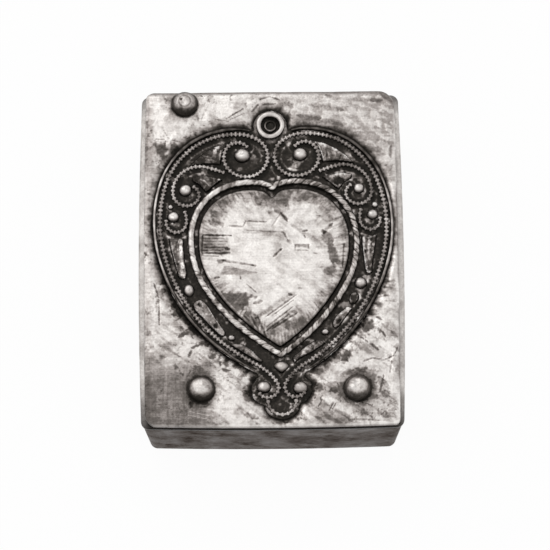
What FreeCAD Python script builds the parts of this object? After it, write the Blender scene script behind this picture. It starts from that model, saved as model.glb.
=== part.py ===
import FreeCAD, Part
import math
import os

# Rectangular metal trinket box with a hinged lid, inlaid with a heart of beaded wire scrolls.
# Millimetres. +Z is up, -Y is the front, and the origin is the middle of the footprint.

Vector = FreeCAD.Vector
up = Vector(0, 0, 1)
along_x = Vector(1, 0, 0)

# Box
box_width = 60.0          # across the bowed sides
box_length = 79.5         # front to back, over the hinge barrel
closed_height = 26.0      # from the table to the lid's face
side_bow = 0.7            # how far each side swells past its corners
front_bow = 0.45
draft = 1.4               # how far each wall leans in from rim to base
wall = 3.0                # sides and front, at the rim
corner_radius = 1.8
foot_radius = 1.2         # rounded lower edge
cavity_corner = 2.0
rim_thickness = 0.9       # thin frame brazed on the wall
rim_step = 0.12           # the frame stands this far past the wall
base_thickness = 1.6
base_ledge = 0.9          # how far the base plate reaches under the wall
felt_thickness = 1.0
felt_proud = 0.4          # what of the felt shows below the metal
felt_border = 4.0
lining_thickness = 0.9    # velvet on card round the inside
lining_clearance = 0.3    # below the locating frame
pad_thickness = 2.6
pad_clearance = 0.2
pad_edge = 1.0

# Lid
lid_thickness = 2.6
lid_side_setback = 1.3    # the lid's sides lie this far inside the rim's
lid_side_bow = 0.35
lid_front_setback = 0.2   # the lid's front edge lies this far behind the rim's
lid_back_overhang = 0.1   # the lid's back edge stands this far past the wall
lid_edge = 0.35           # rounding of the upper edge
lid_gap = 0.4             # seam between rim and lid
corner_back_right = 3.5
corner_back_left = 2.0
corner_front_left = 2.5
corner_front_right = 1.0
frame_clearance = 0.35    # locating frame to the rim
frame_thickness = 1.0
frame_depth = 2.6
lid_pad_thickness = 1.2
lid_pad_edge = 0.5

# Hinge
hinge_end_margin = 17.0   # from each side of the box to the hinge
knuckle_count = 5
knuckle_gap = 0.2
barrel_radius = 1.3
barrel_proud = 0.15       # how far the barrel stands past the back wall
barrel_clearance = 0.2
hinge_web = 0.8           # metal left between the barrel's seat and the inside
pin_radius = 0.6
pin_clearance = 0.05
leaf_thickness = 0.8
body_leaf_height = 7.0
lid_leaf_depth = 6.5
neck_front = 0.7
neck_back = 0.3
leaf_lip = 0.5            # how far the lid's leaf reaches behind the pin
rivet_radius = 0.6
rivet_head_radius = 1.0
rivet_head_height = 0.4
rivet_length = 1.6
rivet_end_margin = 4.0    # from each end of the hinge to its outer rivets
leaf_rivet_drop = 4.6     # body rivets below the pin
leaf_rivet_reach = 3.4    # lid rivets in front of the pin

# Domed studs
stud_radius = 2.95
stud_height = 2.3
stud_shank = 1.2
stud_tail_radius = 1.9
stud_tail_height = 0.7
back_stud_side = 8.9      # from the lid's left edge
back_stud_end = 3.1       # from the lid's back edge
front_stud_left = 12.5    # from the lid's left edge
front_stud_right = 9.4    # from the lid's right edge
front_stud_end = 7.9      # from the lid's front edge

# Heart inlay
recess_depth = 0.9
plate_thickness = 0.6
inlay_side_margin = 1.0
inlay_front_margin = 1.1
inlay_back_margin = 3.15
drawing_width = 55.4      # the inlay's own size, with its plate
drawing_length = 74.6
drawing_foot = 38.4       # from the drawing's origin to its lowest point
inlay_shift = 0.9         # the inlay lies off the middle, to the right
inlay_turn = 1.2          # and is turned a little, in degrees
plate_margin = 1.9        # plate outside the outer wire
plate_clearance = 0.1
border_offset = 1.5       # thin border wire outside the outer wire
border_radius = 0.3
wire_radius = 0.48
rope_radius = 0.65
panel_gap = 1.2           # open groove between rope and panel
panel_height = 0.8
panel_edge = 0.35
ring_radius = 2.72
ring_wire = 0.48
eyelet_outer = 1.6
eyelet_inner = 1.1
eyelet_height = 0.3
bar_height = 0.45

# Places that follow from the sizes above
half_width = box_width / 2 - side_bow
front_y = -box_length / 2 + front_bow
pin_y = box_length / 2 - barrel_radius
back_y = box_length / 2 - barrel_proud
metal_z = felt_proud
lid_z = closed_height - lid_thickness
rim_z = lid_z - lid_gap
wall_z = rim_z - rim_thickness
pin_z = lid_z - barrel_radius - barrel_clearance
seat_radius = barrel_radius + barrel_clearance
lean = math.degrees(math.atan(draft / (rim_z - metal_z)))
cavity_half = half_width - wall
cavity_front = front_y + wall
cavity_back = pin_y - seat_radius - hinge_web
floor_z = metal_z + base_thickness
lid_width = box_width - 2 * lid_side_setback
lid_half = lid_width / 2 - lid_side_bow
hinge_length = box_width - 2 * hinge_end_margin
rivet_spread = hinge_length / 2 - rivet_end_margin
lid_front = front_y + lid_front_setback
lid_back = back_y + lid_back_overhang
lid_length = lid_back - lid_front + front_bow
plate_top = closed_height - recess_depth + plate_thickness
inlay_scale = min(
    (lid_width - 2 * inlay_side_margin) / drawing_width,
    (lid_length - inlay_front_margin - inlay_back_margin) / drawing_length)
inlay_y = lid_front - front_bow + inlay_front_margin + drawing_foot * inlay_scale
rim_chamfer = 0.3 * barrel_radius
rivet_places = (-rivet_spread, 0, rivet_spread)
stud_places = {
    "back_left": (-lid_half + back_stud_side, lid_back - back_stud_end),
    "front_left": (-lid_half + front_stud_left, lid_front + front_stud_end),
    "front_right": (lid_half - front_stud_right, lid_front + front_stud_end)}

# The scrolls, as runs of tangent arcs: (radius, degrees), a left turn positive.
# The drawing has its own origin, and is for the right half.
crown = (7.3, 29.35)                      # top of the outer wire, where both runs start
curl_turns = [(8.0, 33.5), (4.8, 133.5), (5.3, 58.0), (4.15, 85.0), (2.8, 100.0)]
flank_turns = [(17.4, -70.6), (30.2, -33.2), (41.8, -45.7), (12.0, 28.0)]
foot_turns = [(2.35, 175.0)]
lobe_turns = [(8.0, 33.5), (4.8, 30.0)]   # the curl's first arcs, to past the centre line
side_scroll_start = (10.75, 20.22)
side_scroll_heading = 20.5
side_scroll_turns = [(32.0, -7.5), (6.2, -107.5), (3.05, -134.5), (2.35, -100.0)]
small_scroll_start = (19.72, 10.65)
small_scroll_heading = 249.5
small_scroll_turns = [(5.1, 33.7), (2.3, 176.0)]
rope_start = (0.0, 16.4)
rope_heading = 48.2
rope_turns = [(3.6, -35.0), (13.5, -97.0), (21.4, -37.0), (47.5, -27.0)]
rope_overrun = 1.5                        # past the centre line, before the halves are cut
loop_centre = (0.0, -34.1)
loop_radius = 3.1
ring_centre = (0.0, 31.5)
ring_field = 4.1                          # plate round the ring
foot_field_centre = (3.2, -31.0)
foot_field = 3.9                          # plate round each foot curl
foot_margin = 0.7                         # plate below the bottom loop
beads = [                                 # (across, along, radius)
    (6.45, 24.45, 1.5),
    (19.5, 16.0, 1.15),
    (22.4, 9.65, 1.15),
    (23.1, 12.05, 0.45),
    (19.15, -7.3, 1.0),
    (10.6, -18.75, 0.55),
    (3.95, -30.6, 1.2)]
bars = [                                  # (one end, middle, other end, width)
    ((21.4, 3.8), (21.8, -0.2), (20.9, -4.6), 1.7),
    ((17.6, -11.2), (15.2, -14.4), (12.5, -17.4), 1.6),
    ((8.6, -21.3), (6.3, -22.9), (3.8, -24.3), 1.2)]
leaves = [                                # corners, and how far each edge bows inward
    ([(10.9, 26.6), (12.1, 23.2), (17.9, 22.9)], 0.45),
    ([(12.4, 18.9), (15.1, 16.7), (17.5, 19.2)], 0.3)]
drop_centre = (0.0, -26.1)
drop_radius = 1.6
drop_height = 0.9


def save(name, shape):
    shape.exportStep("parts/" + name + ".step")


def arc(first, middle, last):
    return Part.Arc(first, middle, last).toShape()


def prism(edges, low, high):
    face = Part.Face(Part.Wire(edges))
    face.translate(Vector(0, 0, low))
    return face.extrude(Vector(0, 0, high - low))


def block(x_range, y_range, z_range):
    size = [pair[1] - pair[0] for pair in (x_range, y_range, z_range)]
    corner = Vector(x_range[0], y_range[0], z_range[0])
    return Part.makeBox(size[0], size[1], size[2], corner)


def cylinder_x(radius, first, last):
    return Part.makeCylinder(radius, last - first, Vector(first, pin_y, pin_z), along_x)


def join(shapes):
    return shapes[0].fuse(shapes[1:]).removeSplitter() if len(shapes) > 1 else shapes[0]


def bowed_outline(half, front, back, bow, fore_bow, z):
    """Four edges: straight at the back, bowed outward at the sides and front."""
    middle = (front + back) / 2
    back_left = Vector(-half, back, z)
    back_right = Vector(half, back, z)
    front_left = Vector(-half, front, z)
    front_right = Vector(half, front, z)
    return [
        Part.makeLine(back_left, back_right),
        arc(back_right, Vector(half + bow, middle, z), front_right),
        arc(front_right, Vector(0, front - fore_bow, z), front_left),
        arc(front_left, Vector(-half - bow, middle, z), back_left)]


def round_corners(solid, radius_of):
    """Fillets the four upright edges; radius_of takes an edge's middle."""
    height = solid.BoundBox.ZLength
    shape = solid
    upright = [edge for edge in solid.Edges if edge.BoundBox.ZLength > 0.9 * height]
    for radius in sorted({radius_of(edge.CenterOfMass) for edge in upright}):
        chosen = [
            edge for edge in shape.Edges
            if edge.BoundBox.ZLength > 0.9 * height
            and any((edge.CenterOfMass - other.CenterOfMass).Length < 0.01 for other in upright)
            and radius_of(edge.CenterOfMass) == radius]
        shape = shape.makeFillet(radius, chosen)
    return shape


def rounded_prism(half, front, back, radius, low, high):
    """A plain rectangle with rounded corners, centred on X."""
    solid = block((-half, half), (front, back), (low, high))
    upright = [edge for edge in solid.Edges if edge.BoundBox.ZLength > 0.9 * (high - low)]
    return solid.makeFillet(radius, upright)


def flat_edges(shape, z):
    return [
        edge for edge in shape.Edges
        if abs(edge.BoundBox.ZMin - z) < 0.001 and abs(edge.BoundBox.ZMax - z) < 0.001]


# Box body

def hinge_seat():
    """Round seat for the barrel, open above and behind."""
    half = hinge_length / 2 + knuckle_gap
    seat = cylinder_x(seat_radius, -half, half)
    slot_y = (pin_y - seat_radius, back_y + 1)
    slot = block((-half, half), slot_y, (pin_z, lid_z))
    return seat.fuse(slot)


def leaf_turned(shape):
    """Leans a shape with the back wall, about the pin."""
    turned = shape.copy()
    turned.rotate(Vector(0, pin_y, pin_z), along_x, -lean)
    return turned


def wall_face_offset():
    """Distance from the pin to the back wall's outer face, square to that face."""
    return (back_y - pin_y) * math.cos(math.radians(lean)) - (rim_z - pin_z) * math.sin(math.radians(lean))


def leaf_body_range():
    face = pin_y + wall_face_offset()
    return (face - leaf_thickness, face)


def body_wall():
    outline_low = bowed_outline(
        half_width - draft, front_y + draft, back_y - draft, side_bow, front_bow, metal_z)
    top_lean = draft * rim_thickness / (rim_z - metal_z)
    inset = top_lean + rim_step
    outline_high = bowed_outline(
        half_width - inset, front_y + inset, back_y - top_lean, side_bow, front_bow, wall_z)
    solid = Part.makeLoft([Part.Wire(outline_low), Part.Wire(outline_high)], True, True)
    solid = round_corners(solid, lambda middle: corner_radius)
    solid = solid.makeFillet(foot_radius, flat_edges(solid, metal_z))
    cavity = rounded_prism(
        cavity_half, cavity_front, cavity_back, cavity_corner, metal_z, wall_z + 1)
    leaf_recess = leaf_turned(block(
        (-hinge_length / 2 - knuckle_gap, hinge_length / 2 + knuckle_gap),
        (leaf_body_range()[0], back_y + 1),
        (pin_z - body_leaf_height - knuckle_gap, pin_z)))
    solid = solid.cut([cavity, base_block(0), hinge_seat(), leaf_recess])
    return solid.cut(body_rivet_shapes())


def base_block(clearance):
    """The base plate's outline, which the wall's rabbet shares."""
    reach = base_ledge - clearance
    return rounded_prism(
        cavity_half + reach, cavity_front - reach, cavity_back + reach,
        cavity_corner, metal_z, floor_z)


def felt_block():
    half = cavity_half - felt_border
    return rounded_prism(
        half, cavity_front + felt_border, cavity_back - felt_border,
        cavity_corner, 0, felt_thickness)


def base_plate():
    return base_block(0).cut(felt_block())


def rim_frame():
    outline = bowed_outline(half_width, front_y, back_y, side_bow, front_bow, 0)
    solid = prism(outline, wall_z, rim_z)
    solid = round_corners(solid, lambda middle: corner_radius)
    back_edge = [edge for edge in flat_edges(solid, rim_z) if edge.BoundBox.YMin > back_y - 0.001]
    solid = solid.makeChamfer(rim_chamfer, back_edge)
    cavity = rounded_prism(
        cavity_half, cavity_front, cavity_back, cavity_corner, wall_z - 1, rim_z + 1)
    return solid.cut([cavity, hinge_seat()])


def wall_lining():
    """Band of velvet-covered card against the inside of the wall."""
    inset = lining_thickness
    high = lid_z - frame_depth - lining_clearance
    outer = rounded_prism(cavity_half, cavity_front, cavity_back, cavity_corner, floor_z, high)
    inner = rounded_prism(
        cavity_half - inset, cavity_front + inset, cavity_back - inset,
        cavity_corner - inset, floor_z - 1, high + 1)
    return outer.cut(inner)


def lining_pad():
    inset = lining_thickness + pad_clearance
    solid = rounded_prism(
        cavity_half - inset, cavity_front + inset, cavity_back - inset,
        cavity_corner - lining_thickness, floor_z, floor_z + pad_thickness)
    return solid.makeFillet(pad_edge, flat_edges(solid, floor_z + pad_thickness))


# Hinge

def knuckle_spans(of_body):
    """Spans along X of every other knuckle; the body has the outer ones."""
    pitch = hinge_length / knuckle_count
    first = 0 if of_body else 1
    spans = []
    for number in range(first, knuckle_count, 2):
        low = -hinge_length / 2 + number * pitch
        spans.append((low + knuckle_gap / 2, low + pitch - knuckle_gap / 2))
    return spans


def rivet(head_point, direction):
    """A countersunk rivet whose head lies flush at head_point."""
    shank = Part.makeCylinder(rivet_radius, rivet_length, head_point, direction)
    head = Part.makeCone(rivet_head_radius, rivet_radius, rivet_head_height, head_point, direction)
    return shank.fuse(head).removeSplitter()


def body_rivet_shapes():
    face = leaf_body_range()[1]
    inward = Vector(0, -1, 0)
    points = [Vector(x, face, pin_z - leaf_rivet_drop) for x in rivet_places]
    return [leaf_turned(rivet(point, inward)) for point in points]


def lid_rivet_shapes():
    points = [Vector(x, pin_y - leaf_rivet_reach, lid_z) for x in rivet_places]
    return [rivet(point, up) for point in points]


def body_hinge_leaf():
    half = hinge_length / 2
    low, high = leaf_body_range()
    plate = leaf_turned(block((-half, half), (low, high), (pin_z - body_leaf_height, pin_z)))
    clearance = [
        cylinder_x(seat_radius, span[0] - knuckle_gap, span[1] + knuckle_gap)
        for span in knuckle_spans(False)]
    plate = plate.cut(clearance + [cylinder_x(pin_radius, -half, half)])
    barrels = [cylinder_x(barrel_radius, *span) for span in knuckle_spans(True)]
    leaf = join([plate] + barrels)
    return leaf.cut([cylinder_x(pin_radius, -half, half)] + body_rivet_shapes())


def lid_leaf_block(clearance):
    half = hinge_length / 2 + clearance
    reach = (pin_y - lid_leaf_depth - clearance, pin_y + leaf_lip + clearance)
    return block((-half, half), reach, (lid_z, lid_z + leaf_thickness))


def lid_hinge_leaf():
    parts = [lid_leaf_block(0)]
    for span in knuckle_spans(False):
        parts.append(block(span, (pin_y - neck_front, pin_y + neck_back), (pin_z, lid_z)))
        parts.append(cylinder_x(barrel_radius, *span))
    half = hinge_length / 2
    bore = cylinder_x(pin_radius + pin_clearance, -half, half)
    return join(parts).cut([bore] + lid_rivet_shapes())


def hinge_pin():
    return cylinder_x(pin_radius, -hinge_length / 2, hinge_length / 2)


# Lid

def lid_corner(middle):
    if middle.y > 0:
        return corner_back_right if middle.x > 0 else corner_back_left
    return corner_front_right if middle.x > 0 else corner_front_left


def lid_plate():
    outline = bowed_outline(lid_half, lid_front, lid_back, lid_side_bow, front_bow, 0)
    solid = prism(outline, lid_z, closed_height)
    solid = round_corners(solid, lid_corner)
    solid = solid.makeFillet(lid_edge, flat_edges(solid, closed_height))
    recess = inlay_field(plate_margin + plate_clearance, closed_height - recess_depth, closed_height + 1)
    studs = [stud(x, y) for x, y in stud_places.values()]
    return solid.cut([recess, lid_leaf_block(plate_clearance)] + studs + lid_rivet_shapes())


def locating_frame():
    gap = frame_clearance
    inset = frame_clearance + frame_thickness
    low = lid_z - frame_depth
    outer = rounded_prism(
        cavity_half - gap, cavity_front + gap, cavity_back - gap, cavity_corner, low, lid_z)
    inner = rounded_prism(
        cavity_half - inset, cavity_front + inset, cavity_back - inset,
        cavity_corner - frame_thickness, low - 1, lid_z + 1)
    return outer.cut(inner)


def lid_pad():
    """Thin velvet pad inside the locating frame."""
    inset = frame_clearance + frame_thickness + pad_clearance
    low = lid_z - lid_pad_thickness
    solid = rounded_prism(
        cavity_half - inset, cavity_front + inset, cavity_back - inset,
        cavity_corner - frame_thickness, low, lid_z)
    return solid.makeFillet(lid_pad_edge, flat_edges(solid, low))


def stud(x, y):
    """Domed head on the lid, shank through it, and a peened tail flush below."""
    dome_radius = (stud_radius ** 2 + stud_height ** 2) / (2 * stud_height)
    centre_z = closed_height + stud_height - dome_radius
    ball = Part.makeSphere(dome_radius, Vector(x, y, centre_z))
    reach = 2 * stud_radius
    above = block((x - reach, x + reach), (y - reach, y + reach), (closed_height, closed_height + reach))
    head = ball.common(above)
    shank = Part.makeCylinder(stud_shank, lid_thickness + stud_height / 2, Vector(x, y, lid_z))
    tail = Part.makeCone(stud_tail_radius, stud_shank, stud_tail_height, Vector(x, y, lid_z))
    return join([head, shank, tail])


# Heart inlay

def on_lid(shape, mirrored=False):
    """Puts a shape from the drawing on the lid: scaled, turned and moved."""
    placed = shape.mirror(Vector(0, 0, 0), along_x) if mirrored else shape.copy()
    placed.rotate(Vector(0, 0, 0), up, inlay_turn)
    placed.translate(Vector(inlay_shift * inlay_scale, inlay_y, 0))
    return placed


def both_sides(shape):
    return [on_lid(shape), on_lid(shape, True)]


def scaled(point):
    return Vector(point[0] * inlay_scale, point[1] * inlay_scale, 0)


def sized(length):
    return length * inlay_scale


def run(start, heading, turns, offset=0.0):
    """Tangent arcs from start; offset moves the whole run to its left, in drawing units."""
    facing = math.radians(heading)
    x = start[0] - offset * math.sin(facing)
    y = start[1] + offset * math.cos(facing)
    edges = []
    for radius, degrees in turns:
        side = math.copysign(1, degrees)
        reach = radius - side * offset
        turn = math.radians(degrees)
        centre_x = x - side * reach * math.sin(facing)
        centre_y = y + side * reach * math.cos(facing)
        points = []
        for share in (0, 0.5, 1):
            angle = facing + share * turn
            px = centre_x + side * reach * math.sin(angle)
            py = centre_y - side * reach * math.cos(angle)
            points.append((px, py))
        edges.append(arc(*[scaled(point) for point in points]))
        x, y = points[2]
        facing += turn
    return edges, (x, y)


def rod(edges, radius, height):
    """Round wire along the edges, its lowest line on the plate."""
    path = Part.Wire(edges)
    path.translate(Vector(0, 0, height))
    first = edges[0]
    start = first.valueAt(first.FirstParameter)
    tangent = first.tangentAt(first.FirstParameter)
    start.z = height
    section = Part.Wire(Part.makeCircle(radius, start, tangent))
    return path.makePipeShell([section], True, False)


def on_plate(edges, radius):
    return rod(edges, sized(radius), plate_top + sized(radius))


def disc(centre, radius, low, high):
    place = scaled(centre)
    place.z = low
    return Part.makeCylinder(sized(radius), high - low, place)


def right_half(shape):
    """Keeps what lies to the right of the drawing's centre line."""
    reach = sized(drawing_length)
    return shape.common(block((0, reach), (-reach, reach), (0, closed_height + reach)))


def mirror_joined(half):
    return [half, half.mirror(Vector(0, 0, 0), along_x)]


def closed_half(edges, corners, low, high):
    """Prism of the edges closed through the corners, cut off at the centre line."""
    lines = [Part.makeLine(first, last) for first, last in zip(corners, corners[1:])]
    return right_half(prism(Part.__sortEdges__(edges + lines), low, high))


def inlay_field(margin, low, high):
    """The plate's outline: two lobes, the ring's field, the foot curls' fields and the loop's."""
    extra = margin - plate_margin
    over, inner_end = run(crown, 180.0, lobe_turns, -margin)
    down, foot_end = run(crown, 0.0, flank_turns, margin)
    corners = [scaled(foot_end), scaled((inner_end[0], foot_end[1])), scaled(inner_end)]
    lobe = closed_half(over + down, corners, low, high)
    foot = disc(foot_field_centre, foot_field + extra, low, high)
    middle = [
        disc(ring_centre, ring_field + extra, low, high),
        disc(loop_centre, loop_radius + wire_radius + foot_margin + extra, low, high)]
    return on_lid(join(mirror_joined(lobe) + mirror_joined(foot) + middle))


def heart_backplate():
    return inlay_field(plate_margin, plate_top - plate_thickness, plate_top)


def outer_scroll():
    curl, _ = run(crown, 180.0, curl_turns)
    flank, _ = run(crown, 0.0, flank_turns + foot_turns)
    return join([on_plate(curl, wire_radius), on_plate(flank, wire_radius)])


def border_wire():
    over, _ = run(crown, 180.0, [(8.0, 15.0)], -border_offset)
    flank, _ = run(crown, 0.0, flank_turns[:3], border_offset)
    return join([on_plate(over, border_radius), on_plate(flank, border_radius)])


def side_scroll():
    edges, _ = run(side_scroll_start, side_scroll_heading, side_scroll_turns)
    return on_plate(edges, wire_radius)


def small_scroll():
    edges, _ = run(small_scroll_start, small_scroll_heading, small_scroll_turns)
    return on_plate(edges, wire_radius)


def bottom_loop():
    edges, _ = run((loop_radius, loop_centre[1]), -90.0, [(loop_radius, -180.0)])
    return on_plate(edges, wire_radius)


def rope_bezel():
    """Two mirrored halves, each cut square on the centre line where they meet."""
    edges, end = run(rope_start, rope_heading, rope_turns)
    first = edges[0].valueAt(edges[0].FirstParameter)
    lead_in = first - edges[0].tangentAt(edges[0].FirstParameter) * rope_overrun
    last = scaled(end)
    lead_out = last + edges[-1].tangentAt(edges[-1].LastParameter) * rope_overrun
    whole = [Part.makeLine(lead_in, first)] + edges + [Part.makeLine(last, lead_out)]
    return on_lid(join(mirror_joined(right_half(on_plate(whole, rope_radius)))))


def heart_panel():
    """Heart-shaped plate inside the rope, notched above and pointed below."""
    edges, end = run(rope_start, rope_heading, rope_turns, -rope_radius - panel_gap)
    first = edges[0].valueAt(edges[0].FirstParameter)
    notch = Vector(0, first.y - first.x, 0)
    last = scaled(end)
    corners = [last, Vector(last.x, notch.y, 0), notch, first]
    high = plate_top + panel_height
    whole = join(mirror_joined(closed_half(edges, corners, plate_top, high)))
    return on_lid(whole.makeChamfer(panel_edge, flat_edges(whole, high)))


def suspension_ring():
    centre = scaled(ring_centre)
    centre.z = plate_top + sized(ring_wire)
    return on_lid(Part.makeTorus(sized(ring_radius), sized(ring_wire), centre))


def ring_eyelet():
    outer = disc(ring_centre, eyelet_outer, plate_top, plate_top + eyelet_height)
    inner = disc(ring_centre, eyelet_inner, plate_top - 1, plate_top + 1)
    return on_lid(outer.cut(inner))


def bead(across, along, radius):
    centre = scaled((across, along))
    centre.z = plate_top
    return Part.makeSphere(sized(radius), centre, up, 0, 90, 360)


def scroll_beads():
    solids = []
    for across, along, radius in beads:
        solids += both_sides(bead(across, along, radius))
    return Part.makeCompound(solids)


def foot_drop():
    """Small three-cornered drop above the foot curls, point down."""
    corners = []
    for angle in (30, 150, 270):
        turn = math.radians(angle)
        corners.append(scaled((
            drop_centre[0] + drop_radius * math.cos(turn),
            drop_centre[1] + drop_radius * math.sin(turn))))
    solid = Part.makePolygon(corners + corners[:1])
    solid = Part.Face(solid).extrude(Vector(0, 0, drop_height))
    solid.translate(Vector(0, 0, plate_top))
    return on_lid(solid.makeChamfer(drop_height / 2, flat_edges(solid, plate_top + drop_height)))


def filler_bar(first, middle, last, width):
    """Flat bar along an arc through three points."""
    centre = arc(scaled(first), scaled(middle), scaled(last)).Curve.Center
    half = sized(width) / 2
    rails = []
    for step in (half, -half):
        points = []
        for point in (first, middle, last):
            away = scaled(point) - centre
            points.append(centre + away * ((away.Length + step) / away.Length))
        rails.append(points)
    outer, inner = rails
    edges = [
        arc(*outer),
        Part.makeLine(outer[2], inner[2]),
        arc(inner[2], inner[1], inner[0]),
        Part.makeLine(inner[0], outer[0])]
    return prism(edges, plate_top, plate_top + bar_height)


def leaf_filler(corners, bow):
    """Three-cornered leaf whose edges bow inward."""
    middle = scaled((
        sum(corner[0] for corner in corners) / 3,
        sum(corner[1] for corner in corners) / 3))
    edges = []
    for number in range(3):
        first = scaled(corners[number])
        last = scaled(corners[(number + 1) % 3])
        centre = (first + last) / 2
        inward = (middle - centre).normalize()
        edges.append(arc(first, centre + inward * sized(bow), last))
    return prism(edges, plate_top, plate_top + bar_height)


def save_both(name, shape):
    save(name + "_right", on_lid(shape))
    save(name + "_left", on_lid(shape, True))


os.makedirs("parts", exist_ok=True)
save("body_wall", body_wall())
save("rim_frame", rim_frame())
save("base_plate", base_plate())
save("base_felt", felt_block())
save("wall_lining", wall_lining())
save("lining_pad", lining_pad())
save("body_hinge_leaf", body_hinge_leaf())
save("body_hinge_rivets", Part.makeCompound(body_rivet_shapes()))
save("hinge_pin", hinge_pin())
save("lid_plate", lid_plate())
save("locating_frame", locating_frame())
save("lid_pad", lid_pad())
save("lid_hinge_leaf", lid_hinge_leaf())
save("lid_hinge_rivets", Part.makeCompound(lid_rivet_shapes()))
for place_name, place in stud_places.items():
    save("stud_" + place_name, stud(*place))
save("heart_backplate", heart_backplate())
save("rope_bezel", rope_bezel())
save("heart_panel", heart_panel())
save("suspension_ring", suspension_ring())
save("ring_eyelet", ring_eyelet())
save("scroll_beads", scroll_beads())
save("foot_drop", foot_drop())
save("bottom_loop", on_lid(bottom_loop()))
save_both("outer_scroll", outer_scroll())
save_both("border_wire", border_wire())
save_both("side_scroll", side_scroll())
save_both("small_scroll", small_scroll())
save_both("filler_bars", Part.makeCompound([filler_bar(*bar) for bar in bars]))
save_both("leaf_fillers", Part.makeCompound([leaf_filler(*leaf) for leaf in leaves]))
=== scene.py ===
import math

import bmesh
import bpy
import numpy as np
from mathutils import Matrix, Vector, noise
from mathutils.geometry import convex_hull_2d, delaunay_2d_cdt


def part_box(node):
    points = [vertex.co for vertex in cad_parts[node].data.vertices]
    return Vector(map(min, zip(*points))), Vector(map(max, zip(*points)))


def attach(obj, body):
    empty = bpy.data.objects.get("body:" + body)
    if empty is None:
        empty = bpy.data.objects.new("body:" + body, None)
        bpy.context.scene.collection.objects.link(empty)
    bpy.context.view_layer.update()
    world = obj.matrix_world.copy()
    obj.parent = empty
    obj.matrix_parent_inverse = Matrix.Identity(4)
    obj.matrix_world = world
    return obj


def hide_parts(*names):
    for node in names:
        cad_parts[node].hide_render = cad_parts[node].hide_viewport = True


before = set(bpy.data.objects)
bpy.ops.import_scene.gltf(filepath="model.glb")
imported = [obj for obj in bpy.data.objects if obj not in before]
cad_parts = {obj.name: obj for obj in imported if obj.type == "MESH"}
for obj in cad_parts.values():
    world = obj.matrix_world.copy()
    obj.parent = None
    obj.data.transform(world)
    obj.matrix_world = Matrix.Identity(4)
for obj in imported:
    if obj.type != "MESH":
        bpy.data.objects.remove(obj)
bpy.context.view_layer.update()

for leftover in ("Cube", "Light", "Camera"):  # the default scene's objects, if it was opened with them
    if leftover in bpy.data.objects:
        bpy.data.objects.remove(bpy.data.objects[leftover], do_unlink=True)

mm = 0.001
scene = bpy.context.scene


# Sizes and places of the solid pieces, in millimetres

def boxOf(node):
    low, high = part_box(node)
    return np.array(low) / mm, np.array(high) / mm


def camelCase(node):  # lid_plate becomes lidPlate
    first, *others = node.split("_")
    return first + "".join(word.capitalize() for word in others)


lidLow, lidHigh = boxOf("lid_plate")
groundLow, groundHigh = boxOf("heart_backplate")
panelLow, panelHigh = boxOf("heart_panel")
ringLow, ringHigh = boxOf("suspension_ring")
lidTop, groundTop, panelTop = lidHigh[2], groundHigh[2], panelHigh[2]
studNames = ("stud_back_left", "stud_front_left", "stud_front_right")


def flatOutlines(node, level):  # the closed outlines of a CAD node's flat faces at this height
    shell = bmesh.new()
    shell.from_mesh(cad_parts[node].data)
    bmesh.ops.remove_doubles(shell, verts=shell.verts, dist=2e-6)
    flat = [face for face in shell.faces if all(abs(v.co.z / mm - level) < 0.01 for v in face.verts)]
    within = set(flat)
    after = {}
    for face in flat:
        for loop in face.loops:
            if sum(other in within for other in loop.edge.link_faces) == 1:
                after[loop.vert.index] = loop.link_loop_next.vert.index
    shell.verts.ensure_lookup_table()
    outlines = []
    while after:
        first, following = next(iter(after.items()))
        chain = [first]
        while following != first and following in after:
            chain.append(following)
            following = after.pop(following)
        after.pop(first, None)
        outlines.append(ccw(np.array([shell.verts[k].co.xy / mm for k in chain])))
    shell.free()
    return sorted(outlines, key=len, reverse=True)


def ccw(outline):  # turned to run anticlockwise, so inward is to its left
    x, y = outline[:, 0], outline[:, 1]
    return outline if np.sum(x * np.roll(y, -1) - np.roll(x, -1) * y) > 0 else outline[::-1]


def evenly(outline, step):  # the same closed outline with points about this far apart
    line = np.vstack([outline, outline[:1]])
    lengths = runLengths(line)
    places = np.linspace(0, lengths[-1], max(3, round(lengths[-1] / step)) + 1)[:-1]
    return np.stack([np.interp(places, lengths, line[:, k]) for k in range(2)], 1)


def runLengths(line):  # how far along the line each of its points is
    return np.concatenate([[0], np.cumsum(np.linalg.norm(np.diff(line, axis=0), axis=1))])


def leftOf(outline):  # the unit step to the left of each point, which is inward
    along = np.roll(outline, -1, axis=0) - np.roll(outline, 1, axis=0)
    return np.stack([-along[:, 1], along[:, 0]], 1) / np.linalg.norm(along, axis=1)[:, None]


# Distances and patterns over the worked faces

def smooth(low, high, value):  # 0 below low, 1 above high, eased between
    t = np.clip((np.asarray(value, float) - low) / (high - low), 0, 1)
    return t * t * (3 - 2 * t)


def segmentDistance(points, first, last):  # distance to a segment, and how far along it
    along = last - first
    share = np.clip(((points - first) @ along) / max(along @ along, 1e-9), 0, 1)
    return np.linalg.norm(points - first - share[:, None] * along, axis=1), share


def lineDistance(points, line):  # distance to the nearest part of the line
    best = np.full(len(points), 1e9)
    for first, last in zip(line[:-1], line[1:]):
        near = np.linalg.norm(points - (first + last) / 2, axis=1) < best + np.linalg.norm(last - first)
        best[near] = np.minimum(best[near], segmentDistance(points[near], first, last)[0])
    return best


def insideOf(points, outline):
    inside = np.zeros(len(points), bool)
    x, y = points[:, 0], points[:, 1]
    for (ax, ay), (bx, by) in zip(outline, np.roll(outline, -1, axis=0)):
        if ay != by:
            inside ^= ((ay > y) != (by > y)) & (x < (bx - ax) * (y - ay) / (by - ay) + ax)
    return inside


def depthInside(points, outline):  # distance to the outline, negative outside it
    distance = lineDistance(points, np.vstack([outline, outline[:1]]))
    return np.where(insideOf(points, outline), distance, -distance)


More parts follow.
